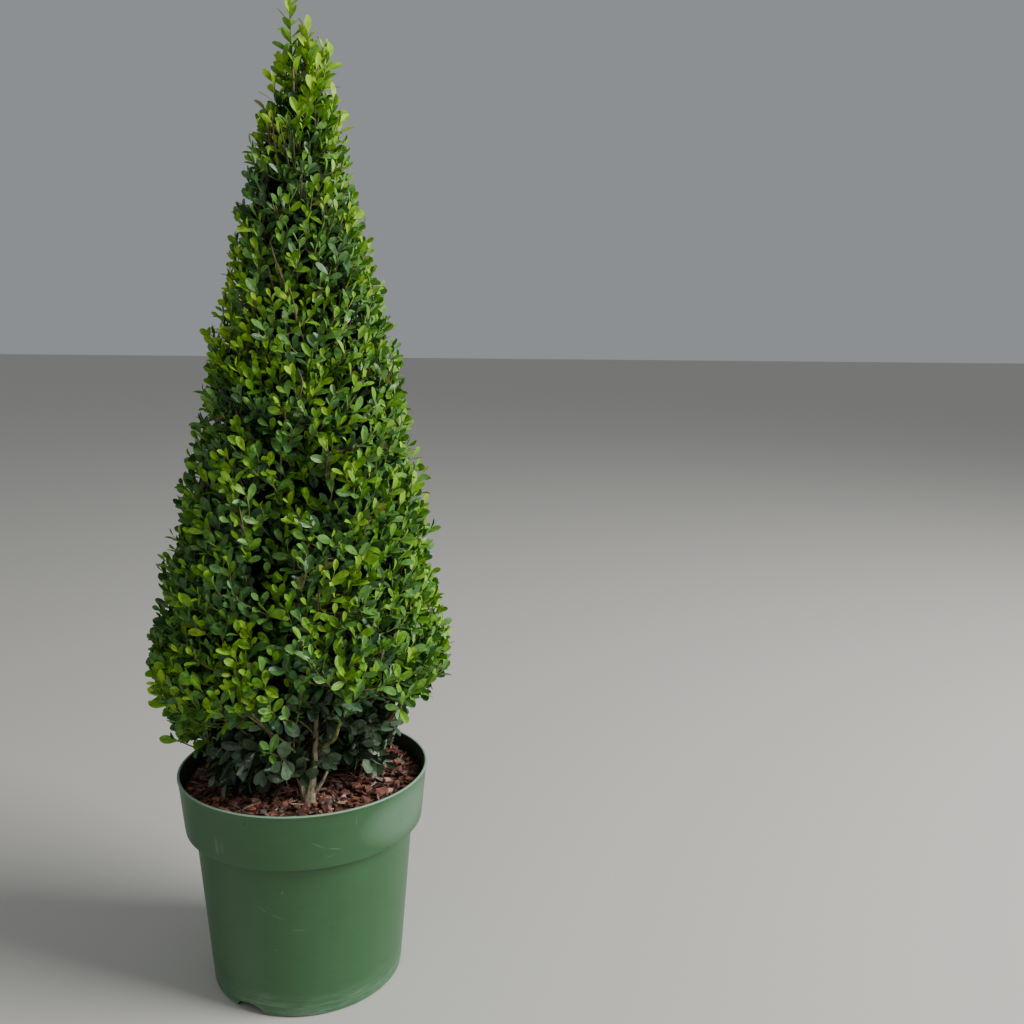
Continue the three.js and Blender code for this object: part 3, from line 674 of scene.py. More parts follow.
def limbPiece(name, points, radii, sides, material, shift, node=None):  # the shift moves the bark's relief
    points = np.asarray(points, float)
    length = np.linalg.norm(np.diff(points, axis=0), axis=1).sum()
    rings = max(limbs["fewestRings"], int(length / limbs["ringStep"]))
    shares = np.linspace(0, 1, rings)
    centres = smoothPath(points, shares)
    radius = radiusAt(radii, shares)
    if points[0][2] == limbs["foot"]:  # a limb from the bark runs on down into it
        centres = np.vstack([centres[0] - [0, 0, limbs["sunk"]], centres])
        radius = np.append(radius[0] * limbs["footSwell"], radius)
    side, across = ringFrames(centres[None])
    low = centres[0][2]
    rows = []
    for centre, size, u, v in zip(centres, radius, side[0], across[0]):
        nearFoot = math.exp(-(centre[2] - low) / limbs["flareReach"])
        for turn in 2 * math.pi * np.arange(sides) / sides:
            x = math.cos(turn)
            y = math.sin(turn)
            swell = 1.0
            for grain, span, depth in limbs["relief"]:
                swell += depth * noise.noise(Vector((grain * x, grain * y, centre[2] / span + shift)))
            lobe = 0.5 + 0.5 * math.sin(limbs["rootLobes"] * turn + shift)
            swell += limbs["flare"] * (lobe * nearFoot)
            rows.append(centre + size * swell * (x * u + y * v))
    ends = np.array([np.arange(sides)[::-1], (len(centres) - 1) * sides + np.arange(sides)])
    faceSets = [(ringQuads(0, len(centres), sides), 0), (ends, 0)]
    piece = makePiece(name + "_bark", rows, faceSets, [material])
    dress(piece, "stem_bark", node or name)


def trunkShareAt(height):
    shares = np.linspace(0, 1, 600)
    return float(np.interp(height, smoothPath(limbs["trunk"], shares)[:, 2], shares))


def boughTo(mass):  # from the trunk to where it enters its mass
    reach = crown["bore"] * float(outlineRadius(mass["low"] + crown["boreLevel"])) + crown["boughEntry"]
    height = mass["low"] + crown["tierRise"] * reach + 2 * crown["boughEntry"]
    height += crown["boughStep"] * mass["place"]
    end = np.array([
        crown["axisX"] + reach * math.cos(mass["middle"]),
        reach * math.sin(mass["middle"]),
        height,
    ])
    abreast = smoothPath(limbs["trunk"], [trunkShareAt(height)])[0]
    share = trunkShareAt(height - crown["boughClimb"] * np.linalg.norm((end - abreast)[:2]))
    start = smoothPath(limbs["trunk"], [share])[0]
    outward = unit(np.array([end[0] - start[0], end[1] - start[1], 0]))
    away = radiusAt(limbs["trunkRadii"], share) + crown["limbGap"]
    start = start + outward * (away + crown["boughClimb"] * crown["boughRadius"])
    middle = (start + end) / 2 - [0, 0, crown["boughSag"]]
    return [start, middle, end]


def makeLimbs(masses):
    material = barkMaterial()
    shifts = limbs["shifts"]
    sides = limbs["stemSides"]
    limbPiece("trunk", limbs["trunk"], limbs["trunkRadii"], limbs["trunkSides"], material, shifts["trunk"])
    limbPiece("trunk_stub", limbs["stub"], limbs["stubRadii"], sides, material, shifts["stub"], "trunk")
    for k, (name, points) in enumerate(limbs["stems"].items()):
        limbPiece(name, points, limbs["stemRadii"], sides, material, shifts["stems"] + k)
    carriers = {"skirt_" + name.split("_")[0]: points for name, points in limbs["stems"].items()}
    for k, mass in enumerate(masses):
        if mass["whole"]:
            carriers[mass["name"]] = limbs["trunk"]
        elif not mass["lowest"]:
            points = boughTo(mass)
            carriers[mass["name"]] = points
            radii = [crown["boughRadius"], crown["boughTaper"] * crown["boughRadius"]]
            name = "bough_" + mass["name"]
            limbPiece(name, points, radii, limbs["boughSides"], material, shifts["boughs"] + k)
    return carriers


masses = listMasses()
carriers = makeLimbs(masses)
print("limbs: trunk, stems and boughs with their bark")


# twigs and leaves: the source's own twigs first, carried on to finer ones that end at the clipped surface

orders = {  # twigs by how deep they end below the outline, with the leaves they carry; deeper twigs' leaves take darker tints, partly older leaves and partly painted shade
    "main": {"radii": (1.35, 0.8), "sides": 6},
    "side": {
        "seed": 21, "step": 27, "depth": (13, 20), "drawn": 1, "length": 34, "lift": 0.75,
        "radii": (1.15, 0.75), "sides": 5,
        "leafRun": 42, "leafStep": 7.0, "leafLength": 13.2, "leafWide": 0.5, "tint": -0.34,
    },
    "inner": {
        "seed": 22, "step": 19, "depth": (26, 46), "drawn": 0.6, "length": 26, "lift": 0.5,
        "radii": (0.8, 0.5), "sides": 3,
        "leafRun": 34, "leafStep": 4.0, "leafLength": 13.5, "leafWide": 0.58, "tint": -0.5,
    },
    "shoot": {
        "seed": 23, "step": 12.8, "depth": (-2, 9), "drawn": 1, "length": 40, "lift": 0.9,
        "radii": (0.8, 0.42), "sides": 4,
        "leafRun": 46, "leafStep": 4.9, "leafLength": 14.2, "leafWide": 0.44, "tint": 0.0,
    },
    "core": {
        "seed": 24, "step": 24, "depth": (48, 82), "drawn": 0, "length": 24, "lift": 0.4,
        "radii": (0.8, 0.5), "sides": 3,
        "leafRun": 30, "leafStep": 3.6, "leafLength": 16, "leafWide": 0.6, "tint": -0.6,
    },
    "old": {
        "seed": 25, "step": 10.2, "depth": (4, 46), "drawn": 0, "length": 30, "lift": 0.05,
        "radii": (0.9, 0.5), "sides": 4,
        "leafRun": 40, "leafStep": 5.4, "leafLength": 18, "leafWide": 0.55, "tint": 0.0,
    },
    "bare": {"radii": (1.0, 0.6), "sides": 6},
    "leader": {
        "radii": (1.0, 0.5), "sides": 6,
        # the leaders' light tint is partly fresh growth, partly painted light on the top of the crown
        "leafStep": 3.3, "leafLength": 18.5, "leafWide": 0.45, "tipSize": 0.9, "tint": 0.73,
    },
    "lateral": {"radii": (1.0, 0.5), "sides": 8, "leafLength": 15, "leafWide": 0.47},
}
foliage = {
    "seed": 5, "swell": 5.5, "swellWidth": 38,  # how uneven the clipped surface is
    "firstRow": 2, "gridTop": 722, "gridRise": 0.9, "gridShake": 0.4,  # rows of twig tips
    "longest": 78, "slimBelow": 60, "headingOut": (0.6, 1.0), "headingShake": 0.24, "kneeBack": 0.5,
    "jointDepth": 9, "jointDepthCost": 1.5, "jointDrop": 6, "jointDropCost": 0.7,
    "oldTop": 268, "oldDrawIn": 0.75, "bareDrop": 6, "slopeReach": 4, "tipGirth": 0.5,
    "slotPlace": (14, -48), "slotAzimuth": math.radians(-78),  # the opening before the trunk's foot
    "slotTop": 276, "slotRise": 34, "slotHalf": 12, "oldSlot": 0.5,
    "viewPlace": (176, -859, 554), "inFront": 2,  # no twig hides the shown ones, seen from here
    "clearance": {"old": 10, "side": 6, "shoot": 5},
}
leafHabit = {  # how leaves stand on a twig, sized and tinted by their way back from its tip
    "firstBack": 0.3, "leafyShare": 0.94, "placeShake": 0.12, "stemSpan": 1.5, "firstTurn": (0, 6.28),
    "turn": math.radians(137.5), "turnShake": 0.25, "rise": 0.12,
    "spreadTip": 24, "spreadFoot": 54, "spreadRun": 16, "spreadShake": 0.15,
    "facing": (0.55, 0.75, 0.2), "facingShake": 0.38,  # to the outside, along the twig, up
    "sizeRuns": (0, 4, 12, 40), "tipSize": 0.6, "sizes": (0.85, 1.0, 0.94), "sizeShake": (0.78, 1.18),
    "heights": (220, 420, 600, 760), "heightScales": (1.06, 1.0, 0.88, 0.84),
    "wideShake": (0.88, 1.12), "cup": (0.1, 0.55), "curl": (-0.06, 0.2), "tipCurl": 1.05,
    "tipTint": 0.2, "fade": 0.34, "fadeRun": 36, "fadeMost": 1.2, "tintShake": 0.06,
    "oldDark": 0.6, "bronze": 0.006,
}
sprayTone = {
    "base": 0.37, "cloud": 0.22, "cloudWidth": 40, "shake": (-0.17, 0.2),
    "sun": 0.075, "sunAzimuth": math.radians(-15), "leaderShake": (-0.16, 0.12),
}
freshFloor = [  # where the fresh leaves end over the old dark ones: azimuth in degrees, height
    (-180, 214), (-150, 224), (-138, 242), (-126, 262), (-114, 270), (-102, 268), (-90, 261), (-60, 264),
    (-45, 268), (-24, 272), (10, 268), (60, 220), (140, 204), (180, 214),
]
oldFloor = [
    (-180, 182), (-126, 182), (-112, 206), (-60, 206), (-46, 200), (-26, 200), (-8, 188), (180, 182),
]
oldInset = [  # how much further the old leaves stand back: azimuth, depth
    (-180, 0), (-56, 0), (-30, 13), (34, 13), (70, 0), (180, 0),
]
crownLean = [  # how far the clipped crown stands to the right of its axis: height, shift
    (180, 0), (255, 0), (285, -5), (345, -5), (372, 0), (430, 0), (480, 3.5), (700, 3.5), (770, 0),
]
leafTints = {  # from the crown's dark inside, partly painted shade, to its fresh tips
    "leafDeep": "18281c", "leafDark": "2a472c", "leafShade": "40663f", "leafGreen": "548245",
    "leafMid": "6ba047", "leafBright": "7eb434", "leafFresh": "92c42e", "leafLime": "abd33a",
}
# leafOldPaleAndSheen: paler old leaves, partly painted sheen on their gloss
otherTints = {"leafOld": "3b5236", "leafOldPaleAndSheen": "728a6b", "leafBronze": "666a24"}
tintNames = list({**leafTints, **otherTints})
twigTints = {"twigWoody": "7c6c53", "twigYoung": "949c55"}
leafFinish = {  # roughness and specular run from old leaves to fresh ones
    "roughness": (0.26, 0.14), "specular": (0.52, -0.32), "otherAge": 0.2,
    "grain": (260, 3), "grainRange": (0.35, 0.65), "dark": 0.8, "bump": (500, 2), "bumpDepth": 0.1,
}
twigFinish = {
    "roughness": 0.7, "specular": 0.3, "grain": (300, 4, (1, 1, 0.4)), "grainRange": (0.35, 0.65),
    "dark": 0.6, "bump": (900, 3, (1, 1, 0.3)), "bumpDepth": 0.2,
}
hollows = [  # dark gaps between the lobes: azimuth, height, width, depth
    (-95, 429, 16, 34), (-94, 404, 17, 36), (-94, 377, 16, 34), (-82, 455, 20, 38), (-71, 432, 17, 36),
    (-66, 420, 13, 30), (-70, 357, 12, 24), (-95, 329, 14, 22), (-85, 329, 11, 16), (-65, 327, 11, 18),
    (-101, 386, 10, 14), (-105, 486, 12, 20), (-90, 676, 14, 20), (-85, 654, 11, 16), (-97, 699, 9, 14),
    (-78, 560, 11, 16), (-112, 300, 13, 20), (-100, 268, 14, 20), (-50, 290, 11, 16), (-58, 520, 11, 16),
    (-84, 290, 12, 18), (-124, 420, 10, 12), (-116, 340, 10, 12), (-45, 400, 10, 14), (-36, 330, 11, 16),
    (-94, 598, 11, 18), (-79, 578, 11, 18), (-75, 556, 10, 16), (-106, 526, 11, 18), (-78, 516, 11, 18),
    (-50, 512, 10, 18), (-57, 624, 9, 14), (-45, 539, 9, 14), (-106, 618, 10, 14), (-117, 486, 11, 16),
]
paintedLightPatches = [  # painted light and shade on parts of the crown, as lighter or darker tints: azimuth, height, width, change of tint
    (-82, 575, 55, -0.24), (-128, 570, 70, 0.27), (-134, 285, 70, 0.16), (-95, 290, 45, 0.05),
    (-88, 425, 45, 0.15), (-128, 420, 45, 0.05),
    (-60, 740, 50, 0.08), (70, 500, 90, -0.08), (150, 380, 80, -0.06), (100, 620, 60, 0.06),
    (30, 300, 60, 0.06),
]
leaders = [  # fresh shoots that stand out of the top: end point and leafy length
    ((3, 0, 797), 106), ((27, 3, 764), 72), ((-9, -6, 738), 52), ((17, -4, 762), 76), ((36, -2, 726), 52),
    ((-13, 4, 712), 44), ((12, 14, 748), 60), ((24, 10, 742), 56), ((2, 16, 730), 50),
    ((-3, -2, 752), 60), ((30, -12, 716), 44), ((-14, -10, 716), 40), ((11, -20, 716), 34),
    ((38, 8, 712), 44), ((-12, 18, 710), 44), ((20, -14, 732), 44), ((8, 6, 764), 70),
    ((32, 14, 722), 44), ((-15, -2, 708), 40), ((24, -8, 748), 56), ((16, 0, 776), 50),
    ((20, -6, 760), 50), ((9, -9, 752), 46), ((31, -2, 756), 50), ((0, -5, 750), 46),
]
leaderHabit = {  # the foot's way from the axis and below the leaves, the bow out and up, where leaves face
    "footShare": 0.4, "footDrop": 8, "bowOut": 0.1, "bowUp": 3, "toFront": 14, "toSky": 10,
}
lateralFacing = (0.2, -0.9, 0.3)
laterals = [  # twigs that show under the skirt: girth, leafy length, leaf step, tint, points from the foot
    (1.1, 50, 6, 0.6, [
        (16, -49, 207.5), (8.9, -57, 214.5), (-1, -72, 233.4), (-14, -92, 255), (-28, -109, 276.5),
    ]),
    (0.8, 40, 5, 0.5, [(4.4, -63, 224), (8.3, -74, 243.4), (13.5, -86, 260.6), (22, -105, 290)]),
    (1.9, 56, 5, 0.6, [
        (18.5, -46, 213), (27, -51, 222), (36.8, -61, 232), (42, -69, 246), (49, -81, 263),
        (59, -100, 296),
    ]),
    (0.55, 24, 5, 0.5, [(20.5, -45, 235), (37, -60, 257), (42, -82, 284)]),
    (0.6, 18, 5, 0.5, [(18, -44, 228), (13, -58, 242), (2, -80, 262)]),
    (0.7, 13, 2.0, 0.36, [(-2, -46, 206), (-8, -66, 219), (-8, -94, 234)]),
    (1.0, 16, 5, 0.55, [(-62, -15, 187), (-70, -29, 203), (-79, -36, 211.5), (-97, -44, 224)]),
    (0.7, 20, 5, 0.55, [(-64, -18, 190), (-72, -32, 205), (-67, -50, 225.6), (-63, -68, 248)]),
]
bareTwigs = [  # old wood that shows between the leaves of the upper half
    [(5, -14, 636), (6, -26, 668), (0, -31, 704)],
    [(5, -12, 650), (9, -24, 676), (9, -30, 700)],
    [(4, -14, 662), (-4, -25, 682), (-6, -30, 712)],
    [(6, -14, 630), (14, -30, 650), (17, -37, 676)],
    [(6, -28, 570), (3, -53, 591), (-3, -50, 606), (-6, -48, 617)],
    [(9, -32, 540), (14, -58, 562), (13, -59, 570), (9, -57, 584)],
    [(14, -42, 484), (18, -70, 505), (20, -69, 513), (16, -68, 525)],
]
# the stretches that nothing hides in the front view
shownTwigs = [smoothPath(points, np.linspace(0.22, 0.8, 12)) for *_, points in laterals[:3]]
shownTwigs += [smoothPath(points, np.linspace(0.7, 1, 4)) for points in bareTwigs]
leafRows = [(0.22, 0.46), (0.48, 0.92), (0.71, 1.0), (0.92, 0.62)]  # share of the length, of the width


def leafMaterials():
    made = []
    for k, (name, colour) in enumerate({**leafTints, **otherTints}.items()):
        fresh = k / (len(leafTints) - 1) if name in leafTints else leafFinish["otherAge"]
        gloss = {key: leafFinish[key][0] + leafFinish[key][1] * fresh for key in ("roughness", "specular")}
        made.append(grainedMaterial(name, colour, {**leafFinish, **gloss}))
    return made


def leafPoints(leaves):  # 20 points for each leaf: two halves of a foot, four rows of two and a tip
    along, face, length = (leaves[key] for key in ("along", "face", "length"))
    wide, cup, curl = (leaves[key] for key in ("wide", "cup", "curl"))
    side = np.cross(along, face)
    half = (wide * length / 2)[:, None]
    rows = []
    for way in (-1, 1):
        rows.append(leaves["root"])
        for share, width in leafRows:
            spine = leaves["root"] + along * (share * length)[:, None]
            spine = spine - face * (curl * length * share ** 2)[:, None]
            rows += [spine, spine + (way * side + cup[:, None] * face) * half * width]
        drop = leafHabit["tipCurl"] * curl * length
        rows.append(leaves["root"] + along * length[:, None] - face * drop[:, None])
    return np.stack(rows, axis=1)


def leafFaces(count):  # quads and triangles of one leaf, repeated; its halves meet in a crisp fold
    left = [[0, 1, 2], [7, 9, 8]]
    right = [[10, 12, 11], [17, 18, 19]]
    quads = [[low, low + 2, low + 3, low + 1] for low in (1, 3, 5)]
    quads += [[low + 1, low + 3, low + 2, low] for low in (11, 13, 15)]
    first = 4 * (len(leafRows) + 1) * np.arange(count)[:, None, None]
    return (first + quads).reshape(-1, 4), (first + (left + right)).reshape(-1, 3)


def bend(start, middle, end, count=7):  # a twig's curve, pulled toward its middle point
    t = np.linspace(0, 1, count)[:, None]
    return (1 - t) ** 2 * start + 2 * t * (1 - t) * middle + t ** 2 * end


def crownNormal(azimuth, height):
    reach = foliage["slopeReach"]
    slope = float(outlineRadius(height - reach) - outlineRadius(height + reach)) / (2 * reach)
    return unit(np.array([math.cos(azimuth), math.sin(azimuth), slope]))


def addSpots(value, point, spots):  # each spot's own amount, fading with distance
    for degrees, level, width, amount in spots:
        gap = np.linalg.norm(point - onCrown(math.radians(degrees), level, 0))
        value += amount * math.exp(-(gap / width) ** 2)
    return value


def setBack(azimuth, height):  # how far a hollow, or the clipped surface's swell, draws a tip in
    point = onCrown(azimuth, height, 0)
    depth = foliage["swell"] * (0.5 - noise.noise(Vector(point) / foliage["swellWidth"]))
    return addSpots(depth, point, hollows)


def gridTargets(step, low, high, rng):  # rows up the crown and steps round it, staggered and shaken
    targets = []
    row = 0
    height = low
    shake = foliage["gridShake"]
    while height < high:
        count = max(4, round(2 * math.pi * float(outlineRadius(height)) / step))
        for k in range(count):
            azimuth = 2 * math.pi * (k + 0.5 * (row % 2) + shake * rng.uniform(-1, 1)) / count
            targets.append((azimuth, max(low, height + shake * step * rng.uniform(-1, 1))))
        height += foliage["gridRise"] * step
        row += 1
    return targets


def atAzimuth(table, azimuth):  # the height or depth that a table gives there
    degrees = math.degrees(math.atan2(math.sin(azimuth), math.cos(azimuth)))
    return float(np.interp(degrees, *zip(*table)))


def inSlot(path, share=1.0):  # does a twig cover the view of the trunk's foot?
    away = foliage["slotAzimuth"]
    x, y = (path[:, k] - foliage["slotPlace"][k] for k in range(2))
    across = y * math.cos(away) - x * math.sin(away)
    ahead = x * math.cos(away) + y * math.sin(away)
    opened = np.clip((foliage["slotTop"] - path[:, 2]) / foliage["slotRise"], 0, 1)
    return bool(np.any((np.abs(across) < share * foliage["slotHalf"] * opened) & (ahead > 0)))


def hidesTwig(path, reach):  # does a twig cross in front of one that shows in the front view?
    for line in shownTwigs:
        toward = unit(np.array(foliage["viewPlace"]) - line)
        gaps = path[:, None, :] - line[None]
        ahead = np.sum(gaps * toward, axis=-1)
        across = np.linalg.norm(gaps - ahead[..., None] * toward, axis=-1)
        if np.any((ahead > foliage["inFront"]) & (across < reach)):
            return True
    return False


def endsInLeaf(path):  # below the fresh leaves a main twig would stand out bare
    x, y, height = path[-1]
    return height > atAzimuth(freshFloor, math.atan2(y, x - crown["axisX"])) - foliage["bareDrop"]


def massAt(point):
    for mass in masses:
        radius, level, turn = placeOf(mass, point)
        low = -math.inf if mass["lowest"] else mass["low"]
        high = math.inf if mass["whole"] else mass["high"]
        if low <= level < high and (mass["whole"] or abs(turn) <= mass["half"]):
            return mass["name"]
    return masses[-1]["name"]


def mainTwigs(mass, carrier):  # the stem and the twigs that the source's rule gives this mass
    draw = seededRun(mass["seed"])
    heading = unit(smoothPath(carrier, [1.0])[0] - smoothPath(carrier, [0.97])[0])
    start = np.asarray(carrier[-1], float) - crown["stemSunk"] * heading
    heart = onCrown(mass["middle"], mass["low"] + crown["stemReach"], crown["stemInset"])
    if mass["whole"]:
        heart = np.array([crown["axisX"], 0, crown["shootFoot"]])
    middle = (start + heart) / 2 + crown["stemBow"] * heading
    stem = smoothPath([start, middle, heart], np.linspace(0, 1, 13))
    targets = []
    height = crown["skirtHeight"] + crown["firstRow"] if mass["lowest"] else mass["low"]
    while height < crown["top"]:
        steps = max(1, round(2 * mass["half"] * float(outlineRadius(height)) / crown["sprayStep"]))
        for k in range(steps):
            turn = crown["sectorShare"] * mass["half"] * ((2 * k + 1) / steps - 1)
            turn += crown["turnShake"] * (draw() - 0.5)
            level = height + (draw() - 0.5) * crown["levelShake"] * crown["sprayRise"]
            draw()  # the source rolls its leaves by this one
            targets.append((mass["middle"] + turn, level))
        height += crown["sprayRise"]
    twigs = []
    nearest, spread = crown["twigStart"]
    for azimuth, level in targets:
        depth = float(leafDepth(level))
        share = nearest + spread * draw()
        end = onCrown(azimuth, level, crown["twigInset"] * depth)
        kneeLevel = max(level - crown["kneeDrop"], crown["skirtHeight"])
        knee = onCrown(azimuth, kneeLevel, crown["kneeInset"] * depth)
        lowest = mass["low"] + crown["tierRise"] * placeOf(mass, knee)[0] + 2 * crown["twigRadius"]
        knee[2] = max(knee[2], lowest)
        path = smoothPath([stem[int(share * 12)], knee, end], np.linspace(0, 1, 9))
        if all(insideSpace(mass, point) for point in path[1:]):
            twigs.append(path)
    return stem, twigs


def leafScale(height):  # leaves are smaller and closer toward the top
    return np.interp(height, leafHabit["heights"], leafHabit["heightScales"])


def leafPlaces(path, order, run, rng):  # roots and stem directions, counted back from the twig's tip
    habit = leafHabit
    reached = np.append(0, np.cumsum(np.linalg.norm(np.diff(path, axis=0), axis=1)))
    step = order["leafStep"] * leafScale(path[-1][2])
    back = np.arange(habit["firstBack"], min(run, habit["leafyShare"] * reached[-1]), step)
    back = np.maximum(back + rng.normal(0, habit["placeShake"], len(back)) * step, 0)
    at = reached[-1] - back
    root, ahead, behind = (
        np.stack([np.interp(length, reached, path[:, k]) for k in range(3)], axis=-1)
        for length in (at, at + habit["stemSpan"], at - habit["stemSpan"])
    )
    return root, unit(ahead - behind), back


def growLeaves(path, order, run, tint, outward, rng):
    habit = leafHabit
    root, stem, back = leafPlaces(path, order, run, rng)
    count = len(back)
    right = unit(np.cross(stem, outward))
    above = np.cross(right, stem)
    turn = rng.uniform(*habit["firstTurn"]) + habit["turn"] * np.arange(count)
    turn = turn + rng.normal(0, habit["turnShake"], count)
    aside = np.cos(turn)[:, None] * right + np.sin(turn)[:, None] * above
    opened = np.minimum(1, back / habit["spreadRun"])
    spread = habit["spreadTip"] + (habit["spreadFoot"] - habit["spreadTip"]) * opened
    spread = np.radians(spread) + rng.normal(0, habit["spreadShake"], count)
    along = unit(np.cos(spread)[:, None] * stem + np.sin(spread)[:, None] * aside + [0, 0, habit["rise"]])
    toOutside, toTip, toSky = habit["facing"]
    shake = habit["facingShake"] * rng.normal(size=(count, 3))
    face = toOutside * outward + toTip * stem + [0, 0, toSky] + shake
    face = unit(face - along * np.sum(face * along, axis=1, keepdims=True))
    grownUp = np.interp(back, habit["sizeRuns"], [order.get("tipSize", habit["tipSize"]), *habit["sizes"]])
    fade = habit["fade"] * np.minimum(back / habit["fadeRun"], habit["fadeMost"])
    own = tint + habit["tipTint"] - fade + rng.normal(0, habit["tintShake"], count)
    kind = np.clip(np.round(own * (len(leafTints) - 1)), 0, len(leafTints) - 1).astype(int)
    if order is orders["old"]:
        # old leaves dark or pale at random; the pale ones are partly painted sheen
        dark = rng.random(count) < habit["oldDark"]
        kind = np.where(dark, tintNames.index("leafOld"), tintNames.index("leafOldPaleAndSheen"))
    kind = np.where(rng.random(count) < habit["bronze"], tintNames.index("leafBronze"), kind)
    size = order["leafLength"] * leafScale(path[-1][2])
    return {
        "root": root, "along": along, "face": face, "kind": kind,
        "length": size * grownUp * rng.uniform(*habit["sizeShake"], count),
        "wide": order["leafWide"] * rng.uniform(*habit["wideShake"], count),
        "cup": rng.uniform(*habit["cup"], count), "curl": rng.uniform(*habit["curl"], count),
    }


def sprayTint(azimuth, height, rng):
    tone = sprayTone
    point = onCrown(azimuth, height, 0)
    tint = tone["base"] + tone["cloud"] * noise.noise(Vector(point) / tone["cloudWidth"])
    tint += rng.uniform(*tone["shake"])
    # lighter toward the lit side: partly fresher growth there, partly painted light
    tint += tone["sun"] + tone["sun"] * math.cos(azimuth - tone["sunAzimuth"])
    # painted light and shade on parts of the crown
    return addSpots(tint, point, paintedLightPatches)


def nearestJoint(joints, tip, length, normal):  # where on the older twigs a new one starts
    gap = tip - joints
    inward = gap @ normal
    tooShallow = foliage["jointDepthCost"] * np.maximum(0, foliage["jointDepth"] - inward)
    tooHigh = foliage["jointDropCost"] * np.maximum(0, foliage["jointDrop"] - gap[:, 2])
    cost = np.abs(np.linalg.norm(gap, axis=1) - length) + (tooShallow + tooHigh)
    return joints[int(np.argmin(cost))]


def addTwig(grown, joints, azimuth, height, order, rng):
    kind = orders[order]
    slim = min(1.0, float(outlineRadius(height)) / foliage["slimBelow"])
    inset = (rng.uniform(*kind["depth"]) + kind["drawn"] * setBack(azimuth, height)) * slim
    if order == "old":
        inset += foliage["oldDrawIn"] * (float(outlineRadius(height)) - crown["skirtRadius"])
        inset += atAzimuth(oldInset, azimuth)
    tip = onCrown(azimuth, height, inset) + [np.interp(height, *zip(*crownLean)), 0, 0]
    name = massAt(tip)
    normal = crownNormal(azimuth, height)
    joint = nearestJoint(joints[name], tip, kind["length"], normal)
    reach = np.linalg.norm(tip - joint)
    if reach > foliage["longest"]:
        return
    heading = normal * rng.uniform(*foliage["headingOut"]) + [0, 0, kind["lift"]]
    heading = unit(heading + foliage["headingShake"] * rng.normal(size=3))
    path = bend(joint, tip - heading * foliage["kneeBack"] * reach, tip)
    if order not in ("inner", "core") and inSlot(path, foliage["oldSlot"] if order == "old" else 1.0):
        return
    if order in foliage["clearance"] and hidesTwig(path, foliage["clearance"][order]):
        return
    grown[name][order].append(path)
    if order == "side":
        joints[name] = np.vstack([joints[name], path[2:]])
    # deeper orders take darker tints: partly older leaves, partly painted shade inside the crown
    tint = kind["tint"] + sprayTint(azimuth, height, rng)
    grown[name]["leaves"].append(growLeaves(path, kind, kind["leafRun"], tint, normal, rng))


def addLeaders(tip, rng):  # each from near the axis, bending up to its end
    kind = orders["leader"]
    habit = leaderHabit
    middle = crown["axisX"]
    share = habit["footShare"]
    for (x, y, height), run in leaders:
        foot = np.array([middle + share * (x - middle), share * y, height - run - habit["footDrop"]])
        end = np.array([x, y, height], float)
        bow = [habit["bowOut"] * x, habit["bowOut"] * y, habit["bowUp"]]
        path = bend(foot, (foot + end) / 2 + bow, end, 9)
        tip["leader"].append(path)
        toward = unit(np.array([x - middle, y - habit["toFront"], habit["toSky"]]))
        tint = kind["tint"] + rng.uniform(*sprayTone["leaderShake"])
        tip["leaves"].append(growLeaves(path, kind, run, tint, toward, rng))


def addLaterals(front, rng):
    outward = unit(np.array(lateralFacing))
    for girth, run, step, tint, points in laterals:
        path = smoothPath(points, np.linspace(0, 1, 13))
        front["lateral"].append(path)
        front["girths"].append(girth)
        kind = {**orders["lateral"], "leafStep": step}
        front["leaves"].append(growLeaves(path, kind, run, tint, outward, rng))


def addBareTwigs(tip):
    for points in bareTwigs:
        tip["bare"].append(smoothPath(points, np.linspace(0, 1, 9)))


def growCrown():
    rng = np.random.default_rng(foliage["seed"])
    grown = {mass["name"]: {kind: [] for kind in [*orders, "girths", "leaves"]} for mass in masses}
    joints = {}
    for mass in masses:
        stem, twigs = mainTwigs(mass, carriers[mass["name"]])
        shown = [twig for twig in twigs if not inSlot(twig) and endsInLeaf(twig)]
        grown[mass["name"]]["main"] = [smoothPath(stem[::4], np.linspace(0, 1, 9))] + shown
        foot = smoothPath(carriers[mass["name"]], np.linspace(0.4, 1, 7))
        joints[mass["name"]] = np.vstack([foot, stem] + [twig[3:] for twig in shown])
    for order in ("side", "core", "inner", "shoot", "old"):
        kind = orders[order]
        low = crown["skirtHeight"] + foliage["firstRow"]
        high = foliage["oldTop"] if order == "old" else foliage["gridTop"]
        for k, (azimuth, height) in enumerate(gridTargets(kind["step"], low, high, rng)):
            if height > atAzimuth(oldFloor if order == "old" else freshFloor, azimuth):
                own = np.random.default_rng([kind["seed"], k])  # a twig keeps its shape when others change
                addTwig(grown, joints, azimuth, height, order, own)
    addLeaders(grown["tip_shoots"], rng)
    addLaterals(grown["skirt_front"], rng)
    addBareTwigs(grown["tip_shoots"])
    return grown


def twigPiece(mass, grown, materials):
    points = []
    faceSets = []
    first = 0
    for order, kind in orders.items():
        paths = np.array(grown[order])
        if len(paths) == 0:
            continue
        rings = paths.shape[1]
        sides = kind["sides"]
        radii = np.broadcast_to(np.linspace(*kind["radii"], rings), (len(paths), rings)).copy()
        radii[:, -1] *= foliage["tipGirth"]
        if order == "lateral":
            radii *= np.array(grown["girths"])[:, None]
        made, quads, tips = tubes(paths, radii, sides)
        young = np.zeros((len(paths), rings - 1, sides), int)
        if order in ("shoot", "leader", "lateral"):
            young[:, 2:] = 1  # green beyond their foot
        faceSets += [(first + quads, young.reshape(-1)), (first + tips, int(young[0, -1, 0]))]
        points.append(made)
        first += len(made)
    piece = makePiece(mass + "_twigs", np.vstack(points), faceSets, materials)
    dress(piece, "foliage", mass)


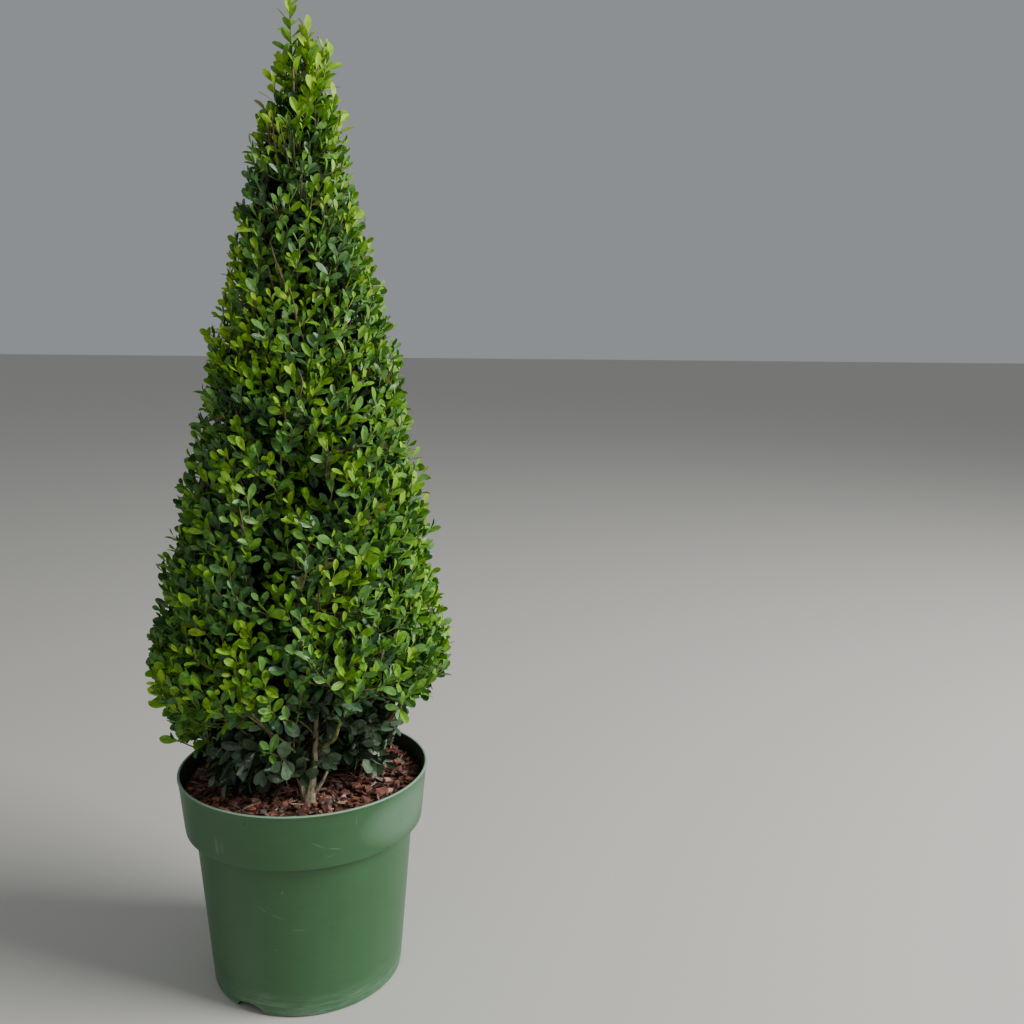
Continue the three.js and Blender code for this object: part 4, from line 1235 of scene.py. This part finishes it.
def leafPiece(mass, grown, materials):
    leaves = {key: np.concatenate([run[key] for run in grown["leaves"]]) for key in grown["leaves"][0]}
    count = len(leaves["kind"])
    quads, triangles = leafFaces(count)
    faceSets = [(faces, np.repeat(leaves["kind"], len(faces) // count)) for faces in (quads, triangles)]
    piece = makePiece(mass + "_leaves", leafPoints(leaves).reshape(-1, 3), faceSets, materials)
    dress(piece, "foliage", mass)
    return count


def makeFoliage():
    grown = growCrown()
    blades = leafMaterials()
    barks = [grainedMaterial(name, colour, twigFinish) for name, colour in twigTints.items()]
    total = 0
    for mass in masses:
        twigPiece(mass["name"], grown[mass["name"]], barks)
        total += leafPiece(mass["name"], grown[mass["name"]], blades)
    counts = {order: sum(len(part[order]) for part in grown.values()) for order in orders}
    print("foliage:", total, "leaves on twigs", counts, "in", len(masses), "masses")


makeFoliage()


# floor, light and camera (metres)

studio = {
    "floor": "cecbc4", "floorDull": 0.8, "floorShine": 0.3, "floorReach": 20,
    "keyPower": 106, "keyPlace": (2.3, -0.5, 1.8), "keySize": 1.5,
    "fillPower": 3.5, "fillPlace": (-0.3, -2.2, 2.2), "fillSize": 1.6,
    "sky": "e9eef2", "skyStrength": 0.34, "aim": (0, 0, 0.4),
}
photoCamera = {  # from the pot's ellipses and the crown's outline in the photograph
    "place": (0.1762, -0.8593, 0.5536), "pitch": 9.76, "roll": 0.53, "lens": 37.2, "sensor": 36,
}


def makeFloor():
    material = newMaterial("studioFloor", studio["floor"], studio["floorDull"], studio["floorShine"])[0]
    points = np.array([[-1, -1, 0], [1, -1, 0], [1, 1, 0], [-1, 1, 0]]) * studio["floorReach"] / mm
    floor = makePiece("studio_floor", points, [(np.array([[0, 1, 2, 3]]), 0)], [material])


def addLight(name, place, size, power):
    light = bpy.data.lights.new(name, "AREA")
    light.energy = power
    light.size = size
    lamp = addObject(name, light)
    lamp.location = place
    lamp.rotation_euler = (Vector(studio["aim"]) - Vector(place)).to_track_quat("-Z", "Y").to_euler()


def makeSky():
    world = bpy.data.worlds.new("studioSky")
    world.use_nodes = True
    background = world.node_tree.nodes["Background"]
    background.inputs["Color"].default_value = linearColour(studio["sky"])
    background.inputs["Strength"].default_value = studio["skyStrength"]
    bpy.context.scene.world = world


def makeCamera():
    data = bpy.data.cameras.new("photoCamera")
    data.lens = photoCamera["lens"]
    data.sensor_width = photoCamera["sensor"]
    camera = addObject("photoCamera", data)
    tilt = Matrix.Rotation(math.radians(90 - photoCamera["pitch"]), 4, "X")
    roll = Matrix.Rotation(math.radians(photoCamera["roll"]), 4, "Z")
    camera.matrix_world = Matrix.Translation(photoCamera["place"]) @ tilt @ roll
    bpy.context.scene.camera = camera


makeFloor()
addLight("keyLight", studio["keyPlace"], studio["keySize"], studio["keyPower"])
addLight("fillLight", studio["fillPlace"], studio["fillSize"], studio["fillPower"])
makeSky()
makeCamera()
print("studio: floor, lights and camera")
